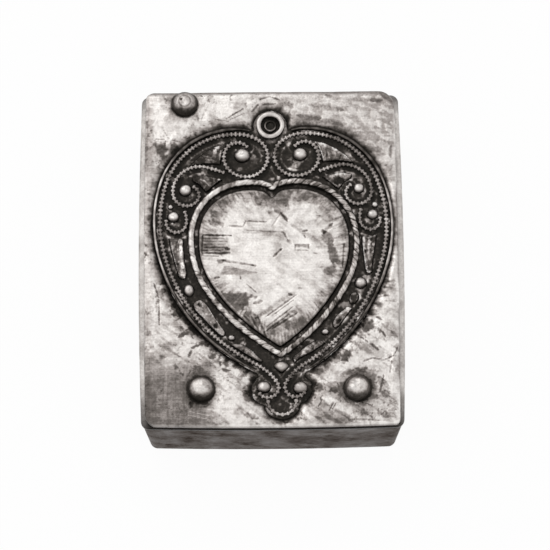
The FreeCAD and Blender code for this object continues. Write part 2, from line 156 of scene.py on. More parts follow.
def alongOutline(points, outline):  # how far round the outline each point's nearest place is
    nearest = [np.argmin(((outline - point) ** 2).sum(1)) for point in points]
    return runLengths(outline)[nearest]


def radiating(points, distance, outline, width, length, seed):  # strokes that run out from the outline
    along = alongOutline(points, outline)
    return np.array([noise.fractal((a / width, d / length, seed), 1.0, 2.0, 3)
                     for a, d in zip(along, distance)]) * 1.3


def clouds(points, size, seed, octaves=3, stretch=(1, 1)):  # soft noise, about -1 to 1
    scaled = points / (size * np.asarray(stretch, float))
    return np.array([noise.fractal((x, y, seed * 7.31), 1.0, 2.0, octaves) for x, y in scaled]) * 1.3


def flakes(points, size, seed):  # flat patches, 0 to 1, with torn edges
    bent = points + np.stack([clouds(points, size, seed + 1), clouds(points, size, seed + 2)], 1) * size * 0.5
    return np.array([noise.cell((x / size, y / size / 0.8, seed)) for x, y in bent]) * 0.5 + 0.5


def grown(outline, outward):  # the outline moved outward a little
    moved = outline - leftOf(outline) * outward
    return moved[depthInside(moved, outline) < -outward * 0.93]


def cutMarks(points, height, tone, marks):  # scratches: x, y, x, y, width (or two), depth, darkness
    for ax, ay, bx, by, *widths, depth, dark in marks:
        margin = max(widths) * 1.2 + 0.3
        near = (points[:, 0] > min(ax, bx) - margin) & (points[:, 0] < max(ax, bx) + margin)
        near &= (points[:, 1] > min(ay, by) - margin) & (points[:, 1] < max(ay, by) + margin)
        if not near.any():
            continue
        spot = points[near]
        wobble = np.array([noise.noise((x * 1.3, y * 1.3, ax)) for x, y in spot])
        rough = 0.75 + 0.5 * np.array([noise.noise((x * 2.6, y * 2.6, by)) for x, y in spot])
        distance, share = segmentDistance(spot, np.array([ax, ay]), np.array([bx, by]))
        width = widths[0] + (widths[-1] - widths[0]) * share
        if len(widths) == 1:
            width = width * (0.35 + 0.65 * np.sqrt(np.clip(4 * share * (1 - share), 0, 1)))
        reach = (distance + wobble * width * 0.3) / (width * 0.72)
        inside = 1 - smooth(0.15, 1.0, reach)
        burr = np.exp(-((reach - 1.25) / 0.3) ** 2) * (abs(depth) > 0.03)  # metal pushed up beside the cut, painted a little lighter as a highlight
        height[near] += burr * abs(depth) * 0.25 - inside * depth
        # the burr is painted slightly lighter: a painted highlight along the cut
        tone[near] += inside * dark * rough - burr * 0.05


def stain(points, height, tone, patches):  # soft patches: x, y, radius x, radius y, turn, sunk, darkness
    for number, (cx, cy, rx, ry, turn, depth, dark) in enumerate(patches):
        near = np.hypot(points[:, 0] - cx, points[:, 1] - cy) < max(rx, ry) * 1.7
        if not near.any():
            continue
        spot = points[near] - (cx, cy)
        a = math.radians(turn)
        u = (spot[:, 0] * math.cos(a) + spot[:, 1] * math.sin(a)) / rx
        v = (spot[:, 1] * math.cos(a) - spot[:, 0] * math.sin(a)) / ry
        rag = clouds(points[near], min(rx, ry) * 0.7, number + 3)
        inside = 1 - smooth(0.55, 1.05, np.hypot(u, v) + 0.35 * rag)
        height[near] -= inside * depth
        tone[near] += inside * dark


# Mesh helpers

def makePiece(name, vertices, faces, tone=None, sharpest=40):
    mesh = bpy.data.meshes.new(name)
    mesh.from_pydata((np.asarray(vertices, float) * mm).tolist(), [], [tuple(f) for f in faces])
    mesh.validate()
    mesh.polygons.foreach_set("use_smooth", [True] * len(mesh.polygons))
    mesh.set_sharp_from_angle(angle=math.radians(sharpest))
    piece = bpy.data.objects.new(name, mesh)
    scene.collection.objects.link(piece)
    if tone is not None:
        setTone(piece, tone)
    return piece


def setTone(piece, tone):  # how dark each point is, from 0, bright, to 1, black: its oxide, and in places painted shade and painted highlights
    stored = piece.data.attributes.get("tone") or piece.data.attributes.new("tone", "FLOAT", "POINT")
    stored.data.foreach_set("value", np.clip(tone, 0, 1).astype(np.float32))


def placesOf(piece):  # its vertices, in millimetres
    flat = np.empty(len(piece.data.vertices) * 3, np.float32)
    piece.data.vertices.foreach_get("co", flat)
    return flat.reshape(-1, 3).astype(float) / mm


def joined(parts):  # several (vertices, faces, tone) made one
    vertices, faces, tones, start = [], [], [], 0
    for part, partFaces, tone in parts:
        vertices.append(part)
        faces += [tuple(k + start for k in face) for face in partFaces]
        tones.append(tone)
        start += len(part)
    return np.vstack(vertices), faces, np.concatenate(tones)


def fillOutline(points, outline):  # triangles between the points, kept inside the outline they start with
    count = len(outline)
    edges = [(k, (k + 1) % count) for k in range(count)]
    result = delaunay_2d_cdt([Vector(p) for p in points], edges, [], 0, 1e-6, False)
    flat = np.array([tuple(v) for v in result[0]])
    faces = np.array(result[2])
    a, b, c = (flat[k] for k in np.sort(faces, axis=1).T)
    inner = (b - a)[:, 0] * (c - a)[:, 1] - (b - a)[:, 1] * (c - a)[:, 0] > 0
    return flat, [tuple(face) for face in faces[inner | (faces.max(1) >= count)].tolist()]


def reliefPlate(outline, faceAt, bottom, spacing, insets, sparse=None, underTone=0.5):
    # a plate with a worked top: faceAt gives its height and tone at each point and depth from the edge
    rim = len(outline)
    inward = leftOf(outline)
    low, high = outline.min(0), outline.max(0)
    rows = np.arange(low[1] + spacing, high[1], spacing * 0.87)
    grid = np.vstack([
        np.stack([xs, np.full(len(xs), y)], 1)
        for number, y in enumerate(rows)
        for xs in [np.arange(low[0] + spacing * (1 + number % 2) / 2, high[0], spacing)]])
    grid = grid[depthInside(grid, outline) > max(insets) + spacing * 0.55]
    if sparse is not None:
        grid = grid[sparse(grid)]
    rings = [outline]
    for inset in insets:
        ring = outline + inward * inset
        rings.append(ring[depthInside(ring, outline) > inset * 0.8])
    flat, faces = fillOutline(np.vstack(rings + [grid]), outline)
    depth = np.maximum(depthInside(flat, outline), 0)
    depth[:rim] = 0
    height, tone = faceAt(flat, depth)
    top = np.column_stack([flat, height])
    foot = np.column_stack([outline, np.full(rim, bottom)])
    start = len(top)
    faces += [(k, start + k, start + (k + 1) % rim, (k + 1) % rim) for k in range(rim)]
    faces += [tuple(start + k for k in reversed(face)) for face in fillOutline(outline, outline)[1]]
    return np.vstack([top, foot]), faces, np.concatenate([tone, np.full(rim, underTone)])


def sweep(line, radius, sides, closed=False, flatten=1.0):  # a round bar along points in space
    line = np.asarray(line, float)
    count = len(line)
    radius = np.broadcast_to(np.asarray(radius, float), (count,))
    along = np.gradient(line, axis=0)
    if closed:
        along = np.roll(line, -1, axis=0) - np.roll(line, 1, axis=0)
    across = np.stack([along[:, 1], -along[:, 0]], 1) / np.linalg.norm(along[:, :2], axis=1)[:, None]
    angles = np.linspace(0, 2 * math.pi, sides, endpoint=False)
    rings = np.repeat(line[:, None, :], sides, axis=1)
    rings[:, :, :2] += across[:, None, :] * (radius[:, None] * np.cos(angles))[:, :, None]
    rings[:, :, 2] += radius[:, None] * np.sin(angles) * flatten
    vertices = rings.reshape(-1, 3)
    faces = []
    for k in range(count if closed else count - 1):
        a, b = k * sides, (k + 1) % count * sides
        faces += [(a + j, b + j, b + (j + 1) % sides, a + (j + 1) % sides) for j in range(sides)]
    if not closed:
        faces += [tuple(range(sides)), tuple(reversed(range((count - 1) * sides, count * sides)))]
    return vertices, faces


def dome(centre, radii, base, height, cast, seed):
    # a rounded head on a flat foot; returns vertices, faces and how far out each point is
    rings, sides, power, bumps = cast["rings"], cast["sides"], cast["power"], cast["bumps"]
    shares = np.sin(np.linspace(0, math.pi / 2, rings + 1))[1:]
    angles = np.linspace(0, 2 * math.pi, sides, endpoint=False)
    vertices, out = [(centre[0], centre[1], base + height)], [0.0]
    for share in shares:
        z = base + height * (1 - share ** power) ** (1 / power) if share < 1 else base
        for angle in angles:
            x = centre[0] + radii[0] * share * math.cos(angle)
            y = centre[1] + radii[1] * share * math.sin(angle)
            lump = noise.noise((x * 1.1, y * 1.1, seed)) * bumps * (1 - share ** 4)
            vertices.append((x, y, z + lump - abs(bumps) * 0.5 * (share < 1)))
            out.append(share)
    faces = [(0, 1 + j, 1 + (j + 1) % sides) for j in range(sides)]
    for ring in range(rings - 1):
        a, b = 1 + ring * sides, 1 + (ring + 1) * sides
        faces += [(a + j, b + j, b + (j + 1) % sides, a + (j + 1) % sides) for j in range(sides)]
    last = 1 + (rings - 1) * sides
    faces.append(tuple(last + j for j in reversed(range(sides))))
    return np.array(vertices), faces, np.array(out)


# Node helpers

def addNode(tree, kind, settings=None, **inputs):  # a node with its settings, its values and its links
    node = tree.nodes.new(kind)
    for name, value in (settings or {}).items():
        setattr(node, name, value)
    for name, value in inputs.items():
        key = int(name[1:]) if name[0] == "_" else name.replace("_", " ")
        socket = node.inputs[key]
        if isinstance(value, bpy.types.NodeSocket):
            tree.links.new(value, socket)
        else:
            socket.default_value = value
    return node


def linear(code):  # an sRGB hex colour as linear RGBA
    channels = [int(code[k:k + 2], 16) / 255 for k in (1, 3, 5)]
    return tuple(c / 12.92 if c <= 0.04045 else ((c + 0.055) / 1.055) ** 2.4 for c in channels) + (1.0,)


def perMm(size):  # a noise scale whose features are this many millimetres across
    return 1 / (size * mm)


def startMaterial(name):  # an empty metal or cloth, with its patterns placed by object coordinates
    material = bpy.data.materials.new(name)
    material.use_nodes = True
    tree = material.node_tree
    tree.nodes.clear()
    shader = addNode(tree, "ShaderNodeBsdfPrincipled")
    output = addNode(tree, "ShaderNodeOutputMaterial", Surface=shader.outputs[0])
    output.location = (300, 0)
    place = addNode(tree, "ShaderNodeTexCoord").outputs["Object"]
    return material, tree, shader, place


def colourRamp(tree, factor, stops):
    ramp = addNode(tree, "ShaderNodeValToRGB", Fac=factor)
    marks = ramp.color_ramp.elements
    while len(marks) < len(stops):
        marks.new(0.5)
    for mark, (place, code) in zip(marks, stops):
        mark.position = place
        mark.color = linear(code)
    return ramp.outputs["Color"]


# Antiqued silver plate on cast pewter: hammered and scraped bright, with black oxide left in every hollow.
# The tone in each mesh says how much oxide is left, with painted shade and highlights in places; the nodes
# break it up with grain and rubs.

def antiquedSilver(name, look):
    material, tree, shader, place = startMaterial(name)
    tone = addNode(tree, "ShaderNodeAttribute", {"attribute_name": "tone"}).outputs["Fac"]
    cloud = addNode(
        tree, "ShaderNodeTexNoise", Vector=place, Scale=perMm(look["cloudSize"]), Detail=5.0, Roughness=0.62)
    grain = addNode(
        tree, "ShaderNodeTexNoise", Vector=place, Scale=perMm(look["grainSize"]), Detail=2.0, Roughness=0.6)
    stretched = addNode(
        tree, "ShaderNodeMapping", Vector=place, Rotation=(0, 0, math.radians(look["rubTurn"])),
        Scale=(1, 9, 1))
    rubs = addNode(
        tree, "ShaderNodeTexNoise", Vector=stretched.outputs[0], Scale=perMm(look["rubLength"]), Detail=3.0)
    added = tone
    for source, strength in ((cloud, look["cloud"]), (grain, look["grain"]), (rubs, look["rubs"])):
        shifted = addNode(
            tree, "ShaderNodeMath", {"operation": "MULTIPLY_ADD"},
            _0=source.outputs["Fac"], _1=strength * 2, _2=-strength).outputs[0]
        added = addNode(tree, "ShaderNodeMath", {"operation": "ADD"}, _0=added, _1=shifted).outputs[0]
    # the stored tone, oxide and painted shade, with grain and rubs added
    worn = addNode(
        tree, "ShaderNodeMath", {"operation": "ADD", "use_clamp": True}, _0=added, _1=0.0).outputs[0]
    tree.links.new(colourRamp(tree, worn, look["colours"]), shader.inputs["Base Color"])
    gloss = addNode(
        tree, "ShaderNodeMapRange", Value=worn,
        From_Min=0.0, From_Max=1.0, To_Min=look["roughness"][0], To_Max=look["roughness"][1])
    tree.links.new(gloss.outputs[0], shader.inputs["Roughness"])
    shine = addNode(
        tree, "ShaderNodeMapRange", Value=worn, From_Min=look["oxideTones"][0],
        From_Max=look["oxideTones"][1], To_Min=look["metal"][0], To_Max=look["metal"][1])
    tree.links.new(shine.outputs[0], shader.inputs["Metallic"])
    bump = addNode(
        tree, "ShaderNodeBump", Strength=look["bump"], Distance=look["grainDepth"] * mm,
        Height=grain.outputs["Fac"])
    bumpRubs = addNode(
        tree, "ShaderNodeBump", Strength=look["bump"], Distance=look["rubDepth"] * mm,
        Height=rubs.outputs["Fac"], Normal=bump.outputs[0])
    tree.links.new(bumpRubs.outputs[0], shader.inputs["Normal"])
    return material


oxideAndShadeColours = [  # from rubbed silver to the thickest oxide or the deepest painted shade
    (0.0, "#EBE7E3"), (0.16, "#CFCAC6"), (0.34, "#A19A96"), (0.52, "#6C6662"), (0.74, "#383430"),
    (1.0, "#1D1B18")]
silverLook = {  # sizes and depths in millimetres
    "cloudSize": 2.2, "cloud": 0.16, "grainSize": 0.45, "grain": 0.12, "grainDepth": 0.06,
    "rubLength": 4.0, "rubTurn": 28, "rubs": 0.10, "rubDepth": 0.05,
    "roughness": (0.30, 0.50), "metal": (1.0, 0.95), "oxideTones": (0.35, 0.9), "bump": 0.8,
    "colours": oxideAndShadeColours}
silver = antiquedSilver("antiquedSilverPlate", silverLook)
wireLustre = {"cloudSize": 1.5, "cloud": 0.08, "grain": 0.06, "rubs": 0.03, "bump": 0.4}
beadSilver = antiquedSilver("antiquedSilverWire", {**silverLook, **wireLustre})  # fine work, so smoother
studLustre = {"cloudSize": 1.8, "cloud": 0.12, "rubs": 0.06, "roughness": (0.42, 0.55), "bump": 0.6}
studSilver = antiquedSilver("antiquedSilverStuds", {**silverLook, **studLustre})  # hammered heads, more matt
oxideCrust = {
    "grain": 0.14, "rubs": 0.05, "roughness": (0.36, 0.5), "bump": 0.9,
    "colours": oxideAndShadeColours[:-1] + [(1.0, "#23211E")]}
oxide = antiquedSilver("blackOxideOnSilver", {**silverLook, **oxideCrust})  # left black and gritty

print("materials ready")


# Inlay drawing: tangent arcs of (radius, degrees), a left turn positive, in millimetres

drawing = {
    "turn": 1.2,
    "ringCentre": (0.0, 31.5),
    "crown": (7.3, 29.35),
    "curl": [(8.0, 33.5), (4.8, 133.5), (5.3, 58.0), (4.15, 85.0), (2.8, 100.0)],
    "flank": [(17.4, -70.6), (30.2, -33.2), (41.8, -45.7), (12.0, 28.0)],
    "foot": [(2.35, 175.0)],
    "sideScroll": ((10.75, 20.22), 20.5, [(32.0, -7.5), (6.2, -107.5), (3.05, -134.5), (2.35, -100.0)]),
    "smallScroll": ((19.72, 10.65), 249.5, [(5.1, 33.7), (2.3, 176.0)]),
    "rope": ((0.0, 16.4), 48.2, [(3.6, -35.0), (13.5, -97.0), (21.4, -37.0), (47.5, -27.0)]),
    "loop": (0.0, -34.1, 3.1),
}
turned = math.radians(drawing["turn"])
turnRows = np.array([[math.cos(turned), math.sin(turned)], [-math.sin(turned), math.cos(turned)]])
inlayOrigin = ((ringLow + ringHigh) / 2)[:2] - np.array(drawing["ringCentre"]) @ turnRows


inlayLean = {  # the inlay was pressed in unevenly: places on the lid, and how far it has gone there
    "reach": 5.5,
    "moves": np.array([
        (0, 31, -0.25, -0.25), (-18, 26, -0.5, 0.3), (-10, 26, -0.35, 0.1), (0, 24, -0.15, -0.3),
        (12, 26, 0.0, -0.15), (22, 18, -0.15, -0.5), (-22, 12, -0.4, 0.55), (-16, 17, -0.35, 0.15),
        (-6, 18, -0.55, -0.4), (0, 17, -0.5, -0.4), (6, 18, 0.15, -0.3), (14, 17, 0.0, -0.2),
        (-16, 6, -0.4, 0.0), (15, 6, 0.0, -0.15), (22, 6, -0.15, -0.45), (-22, 0, -0.3, 0.2),
        (22, -3, -0.1, -0.25), (-15, -3, -0.35, -0.1), (15, -3, 0.15, -0.1), (-18, -12, -0.2, -0.1),
        (-13, -13, -0.2, -0.2), (13, -12, 0.2, -0.2), (18, -12, 0.1, -0.15), (-10, -21, 0.2, 0.0),
        (10, -21, 0.45, -0.15), (0, -23, 0.6, -0.1), (-3, -31, 0.5, 0.0), (4, -31, 0.55, 0.0)])}


def leaned(points):
    points = np.atleast_2d(np.asarray(points, float))
    places, moves = np.split(inlayLean["moves"], 2, axis=1)
    weights = np.exp(-((points[:, None] - places) ** 2).sum(2) / (2 * inlayLean["reach"] ** 2)) + 1e-9
    return points + weights @ moves / weights.sum(1, keepdims=True)


def onLid(points, side=1):  # from the drawing to the lid; side -1 gives the left half
    return leaned(np.atleast_2d(np.asarray(points, float)) * np.array([side, 1]) @ turnRows + inlayOrigin)


def offLid(points):  # from the lid back to the drawing
    return (np.atleast_2d(points) - inlayOrigin) @ turnRows.T


def arcRun(start, heading, turns, offset=0.0, step=0.25):  # points along tangent arcs, moved left by offset
    facing = math.radians(heading)
    x = start[0] - offset * math.sin(facing)
    y = start[1] + offset * math.cos(facing)
    points = [(x, y)]
    for radius, degrees in turns:
        side = math.copysign(1, degrees)
        reach = radius - side * offset
        turn = math.radians(degrees)
        cx, cy = x - side * reach * math.sin(facing), y + side * reach * math.cos(facing)
        pieces = max(3, round(abs(turn) * reach / step))
        for k in range(1, pieces + 1):
            angle = facing + turn * k / pieces
            points.append((cx + side * reach * math.sin(angle), cy - side * reach * math.cos(angle)))
        x, y = points[-1]
        facing += turn
    return np.array(points)


def heartLine():  # the rope's heart as a closed outline: the right half and its mirror image
    half = arcRun(*drawing["rope"])
    half = half[half[:, 0] > 0.05]
    return ccw(onLid(evenly(np.vstack([half, half[::-1] * (-1, 1)]), 0.3)))


groundOutline = evenly(leaned(flatOutlines("heart_backplate", groundLow[2])[0]), 0.4)
panelOutline = leaned(flatOutlines("heart_panel", panelLow[2])[0])
ringCentre = leaned((ringLow + ringHigh)[:2] / 2)[0]
hull = [Vector(v.co.xy / mm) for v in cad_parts["lid_plate"].data.vertices]
lidOutline = evenly(ccw(np.array([hull[k] for k in convex_hull_2d(hull)])), 0.45)

print("outlines", len(groundOutline), len(panelOutline), len(lidOutline))


# Lid plate: cast, planished and scraped, with the metal torn where the heart was pressed in

lidPlate = {
    "edgeRound": 0.4, "spacing": 0.27, "insets": (0.05, 0.12, 0.22, 0.36, 0.55),
    "below": 0.07,  # how far the hammered face lies under the top of its highest lump
    "bright": 0.08, "darkest": 0.58,  # tones of the open metal
    "hammering": 0.14, "dappling": 0.12, "filing": 0.36, "flaking": 0.16, "streaks": 0.16,
    "pitDepth": 0.05, "pitTone": 0.22, "brokenCorner": 0.35,
    "oxideEdge": 0.28, "oxideSpread": 0.36, "oxideCrown": 0.16, "oxideStuds": 0.52,
    "scratches": [
        (-26.4, -6.3, -25.3, -10.0, 0.35, 0.06, 0.55), (-25.3, -10.0, -25.2, -16.2, 0.35, 0.06, 0.6),
        (-25.6, -8.0, -25.8, -13.0, 0.6, 0.02, 0.25), (-28.0, 33.0, -28.2, 22.0, 0.4, 0.02, 0.15),
        (-24.0, 28.2, -26.2, 28.2, 0.4, 0.05, 0.4), (-23.8, 28.0, -24.3, 24.2, 0.45, 0.06, 0.5),
        (-26.2, 28.0, -25.6, 24.0, 0.5, 0.03, 0.25), (-22.4, 28.0, -20.6, 27.6, 0.45, 0.04, 0.4),
        (-22.6, 27.6, -22.4, 24.8, 0.7, 0.03, 0.3), (-10.0, 33.0, -6.0, 35.5, 0.35, 0.05, 0.5),
        (-9.6, 32.6, -5.6, 34.4, 0.3, 0.03, 0.35), (-13.0, 33.0, -9.5, 32.4, 0.4, 0.03, 0.3),
        (-8.8, 39.0, -9.1, 38.0, 0.3, 0.04, 0.5), (-15.8, 38.8, -15.4, 38.4, 0.5, 0.04, 0.5),
        (-4.7, 33.6, -4.4, 29.8, 0.4, -0.04, -0.25), (-4.2, 34.6, -2.6, 36.6, 0.5, 0.04, 0.45),
        (-2.4, 37.6, 0.0, 38.3, 0.45, 0.04, 0.45), (0.0, 38.3, 2.3, 37.4, 0.45, 0.04, 0.45),
        (-1.6, 36.4, 1.4, 36.6, 0.5, 0.03, 0.4), (3.4, 36.8, 5.2, 35.6, 1.35, 0.05, 0.25),
        (4.4, 34.4, 3.8, 31.8, 0.9, 0.04, 0.22), (6.2, 33.6, 11.6, 33.0, 1.35, 0.05, 0.22),
        (11.0, 32.4, 17.4, 31.4, 1.2, 0.04, 0.19), (9.0, 36.2, 16.8, 34.9, 1.2, 0.05, 0.19),
        (12.5, 38.6, 14.2, 38.2, 0.75, 0.04, 0.22), (18.6, 37.4, 25.6, 37.2, 1.2, 0.03, 0.25),
        (27.4, 26.2, 27.2, 23.2, 0.7, 0.04, 0.35), (25.4, 38.6, 28.3, 36.6, 0.8, 0.05, 0.2),
        (21.9, -20.8, 23.8, -22.3, 0.6, 0.08, 0.65), (24.7, -18.0, 25.4, -19.4, 0.5, 0.06, 0.6),
        (19.9, -19.3, 21.6, -20.6, 0.3, 0.05, 0.5), (20.4, -24.9, 22.4, -24.2, 0.3, 0.06, 0.55),
        (22.4, -24.2, 25.0, -24.7, 0.3, 0.06, 0.55), (25.0, -24.7, 27.2, -23.7, 0.3, 0.06, 0.55),
        (27.2, -23.7, 28.1, -21.6, 0.3, 0.05, 0.45), (26.7, -24.6, 26.2, -27.6, 0.4, 0.04, 0.35),
        (24.8, -28.2, 24.0, -32.0, 0.45, 0.05, 0.5), (14.5, -30.1, 15.4, -32.8, 0.4, 0.06, 0.55),
        (15.4, -32.8, 16.8, -34.6, 0.35, 0.05, 0.4), (11.3, -32.7, 10.6, -33.4, 0.35, 0.04, 0.4),
        (10.6, -33.4, 10.9, -34.2, 0.45, 0.05, 0.5), (10.9, -34.2, 10.1, -35.4, 0.35, 0.05, 0.5),
        (13.6, -34.2, 12.6, -36.4, 0.35, 0.04, 0.45), (14.2, -34.4, 13.3, -36.1, 0.3, 0.04, 0.32),
        (15.4, -24.8, 17.4, -22.4, 0.5, 0.07, 0.5), (15.6, -24.4, 17.0, -24.9, 0.6, 0.05, 0.45),
        (5.4, -38.2, 6.4, -38.0, 0.8, 0.04, 0.4), (24.6, -6.4, 27.8, -6.2, 0.5, 0.03, 0.35),
        (25.0, -7.6, 27.4, -7.9, 0.4, 0.03, 0.3), (24.2, -9.8, 26.6, -9.6, 0.5, 0.03, 0.35),
        (25.2, -10.9, 28.2, -11.0, 0.4, 0.03, 0.3), (23.4, -14.6, 24.6, -15.3, 0.6, 0.05, 0.45),
        (-19.6, -36.0, -13.2, -37.4, 0.25, 0.02, -0.2), (-19.2, -37.0, -14.0, -38.1, 0.25, 0.02, -0.2),
        (-16.6, -35.4, -11.0, -36.2, 0.25, 0.02, -0.15), (16.6, -38.4, 26.0, -38.6, 0.5, 0.04, 0.3),
        (-29.0, 1.4, -27.6, 0.2, 0.5, 0.05, 0.45), (-28.6, 3.2, -27.6, 2.2, 0.4, 0.05, 0.4)],
    "stains": [
        (-21.9, -11.6, 1.3, 0.8, 60, 0.05, 0.55), (-21.4, -13.4, 1.0, 1.0, 0, 0.04, 0.5),
        (-20.0, -18.4, 1.4, 0.6, 30, 0.05, 0.5), (-17.2, -21.2, 1.2, 0.4, 20, 0.04, 0.45),
        (-18.3, -22.8, 1.1, 0.35, 65, 0.04, 0.45), (-13.3, -23.6, 1.3, 0.6, 10, 0.05, 0.5),
        (-10.4, -26.8, 1.0, 0.5, -25, 0.05, 0.5), (-11.5, -25.5, 0.4, 0.3, 0, 0.05, 0.4),
        (-16.4, -26.4, 1.2, 0.7, -40, 0.03, 0.4), (-27.8, -18.0, 0.9, 0.8, 0, 0.03, 0.25),
        (-24.5, -23.6, 0.9, 0.7, 0, 0.03, 0.2), (-5.0, -33.2, 2.0, 1.2, -35, 0.02, 0.3),
        (-5.0, -37.4, 2.2, 0.7, -20, 0.02, 0.25), (-24.6, 25.6, 1.2, 2.4, 5, 0.04, 0.28),
        (-21.6, 26.2, 0.9, 1.6, 20, 0.03, 0.3), (-7.6, 34.2, 2.0, 0.5, 30, -0.03, 0.12),
        (21.6, -16.4, 1.9, 1.5, -40, 0.06, 0.5), (20.6, -14.4, 0.9, 0.8, 0, 0.04, 0.4),
        (24.0, -17.6, 1.0, 0.6, -40, 0.04, 0.4), (16.8, -23.4, 1.5, 1.0, 45, 0.05, 0.35),
        (18.4, -27.4, 3.6, 1.1, 10, 0.04, 0.28), (13.8, -31.6, 1.3, 0.8, 0, 0.05, 0.3),
        (10.4, -30.9, 1.2, 0.8, -50, 0.04, 0.4), (12.0, -34.0, 1.9, 1.2, -20, 0.0, -0.13),
        (26.6, -8.4, 1.8, 3.0, 0, 0.02, 0.18), (26.0, 5.5, 0.8, 3.0, 0, 0.02, 0.2),
        (21.0, 34.2, 1.3, 0.9, -20, -0.05, -0.14),
        (21.6, 37.8, 1.2, 0.9, 0, -0.04, -0.12), (17.2, 34.0, 1.5, 0.6, -20, -0.05, -0.12),
        (25.0, 31.6, 0.8, 1.3, 0, -0.03, -0.10), (-18.2, -34.7, 0.5, 0.9, -10, 0.03, 0.75),
        (-14.8, -34.7, 1.0, 0.6, 0, 0.02, 0.35), (-28.6, -36.0, 1.6, 2.6, 0, 0.02, 0.12),
        (23.0, -34.5, 7.0, 4.0, 10, 0.02, 0.16), (25.4, -27.0, 2.0, 5.0, 0, 0.02, 0.08)],
    "drips": [(-18.3, -34.0, -18.0, -35.3, 0.9, 0.05, 0.42)],  # a dark run in front of the front left stud
}


def studPlace(name):
    low, high = boxOf(name)
    return (low + high)[:2] / 2, (high - low)[:2] / 2


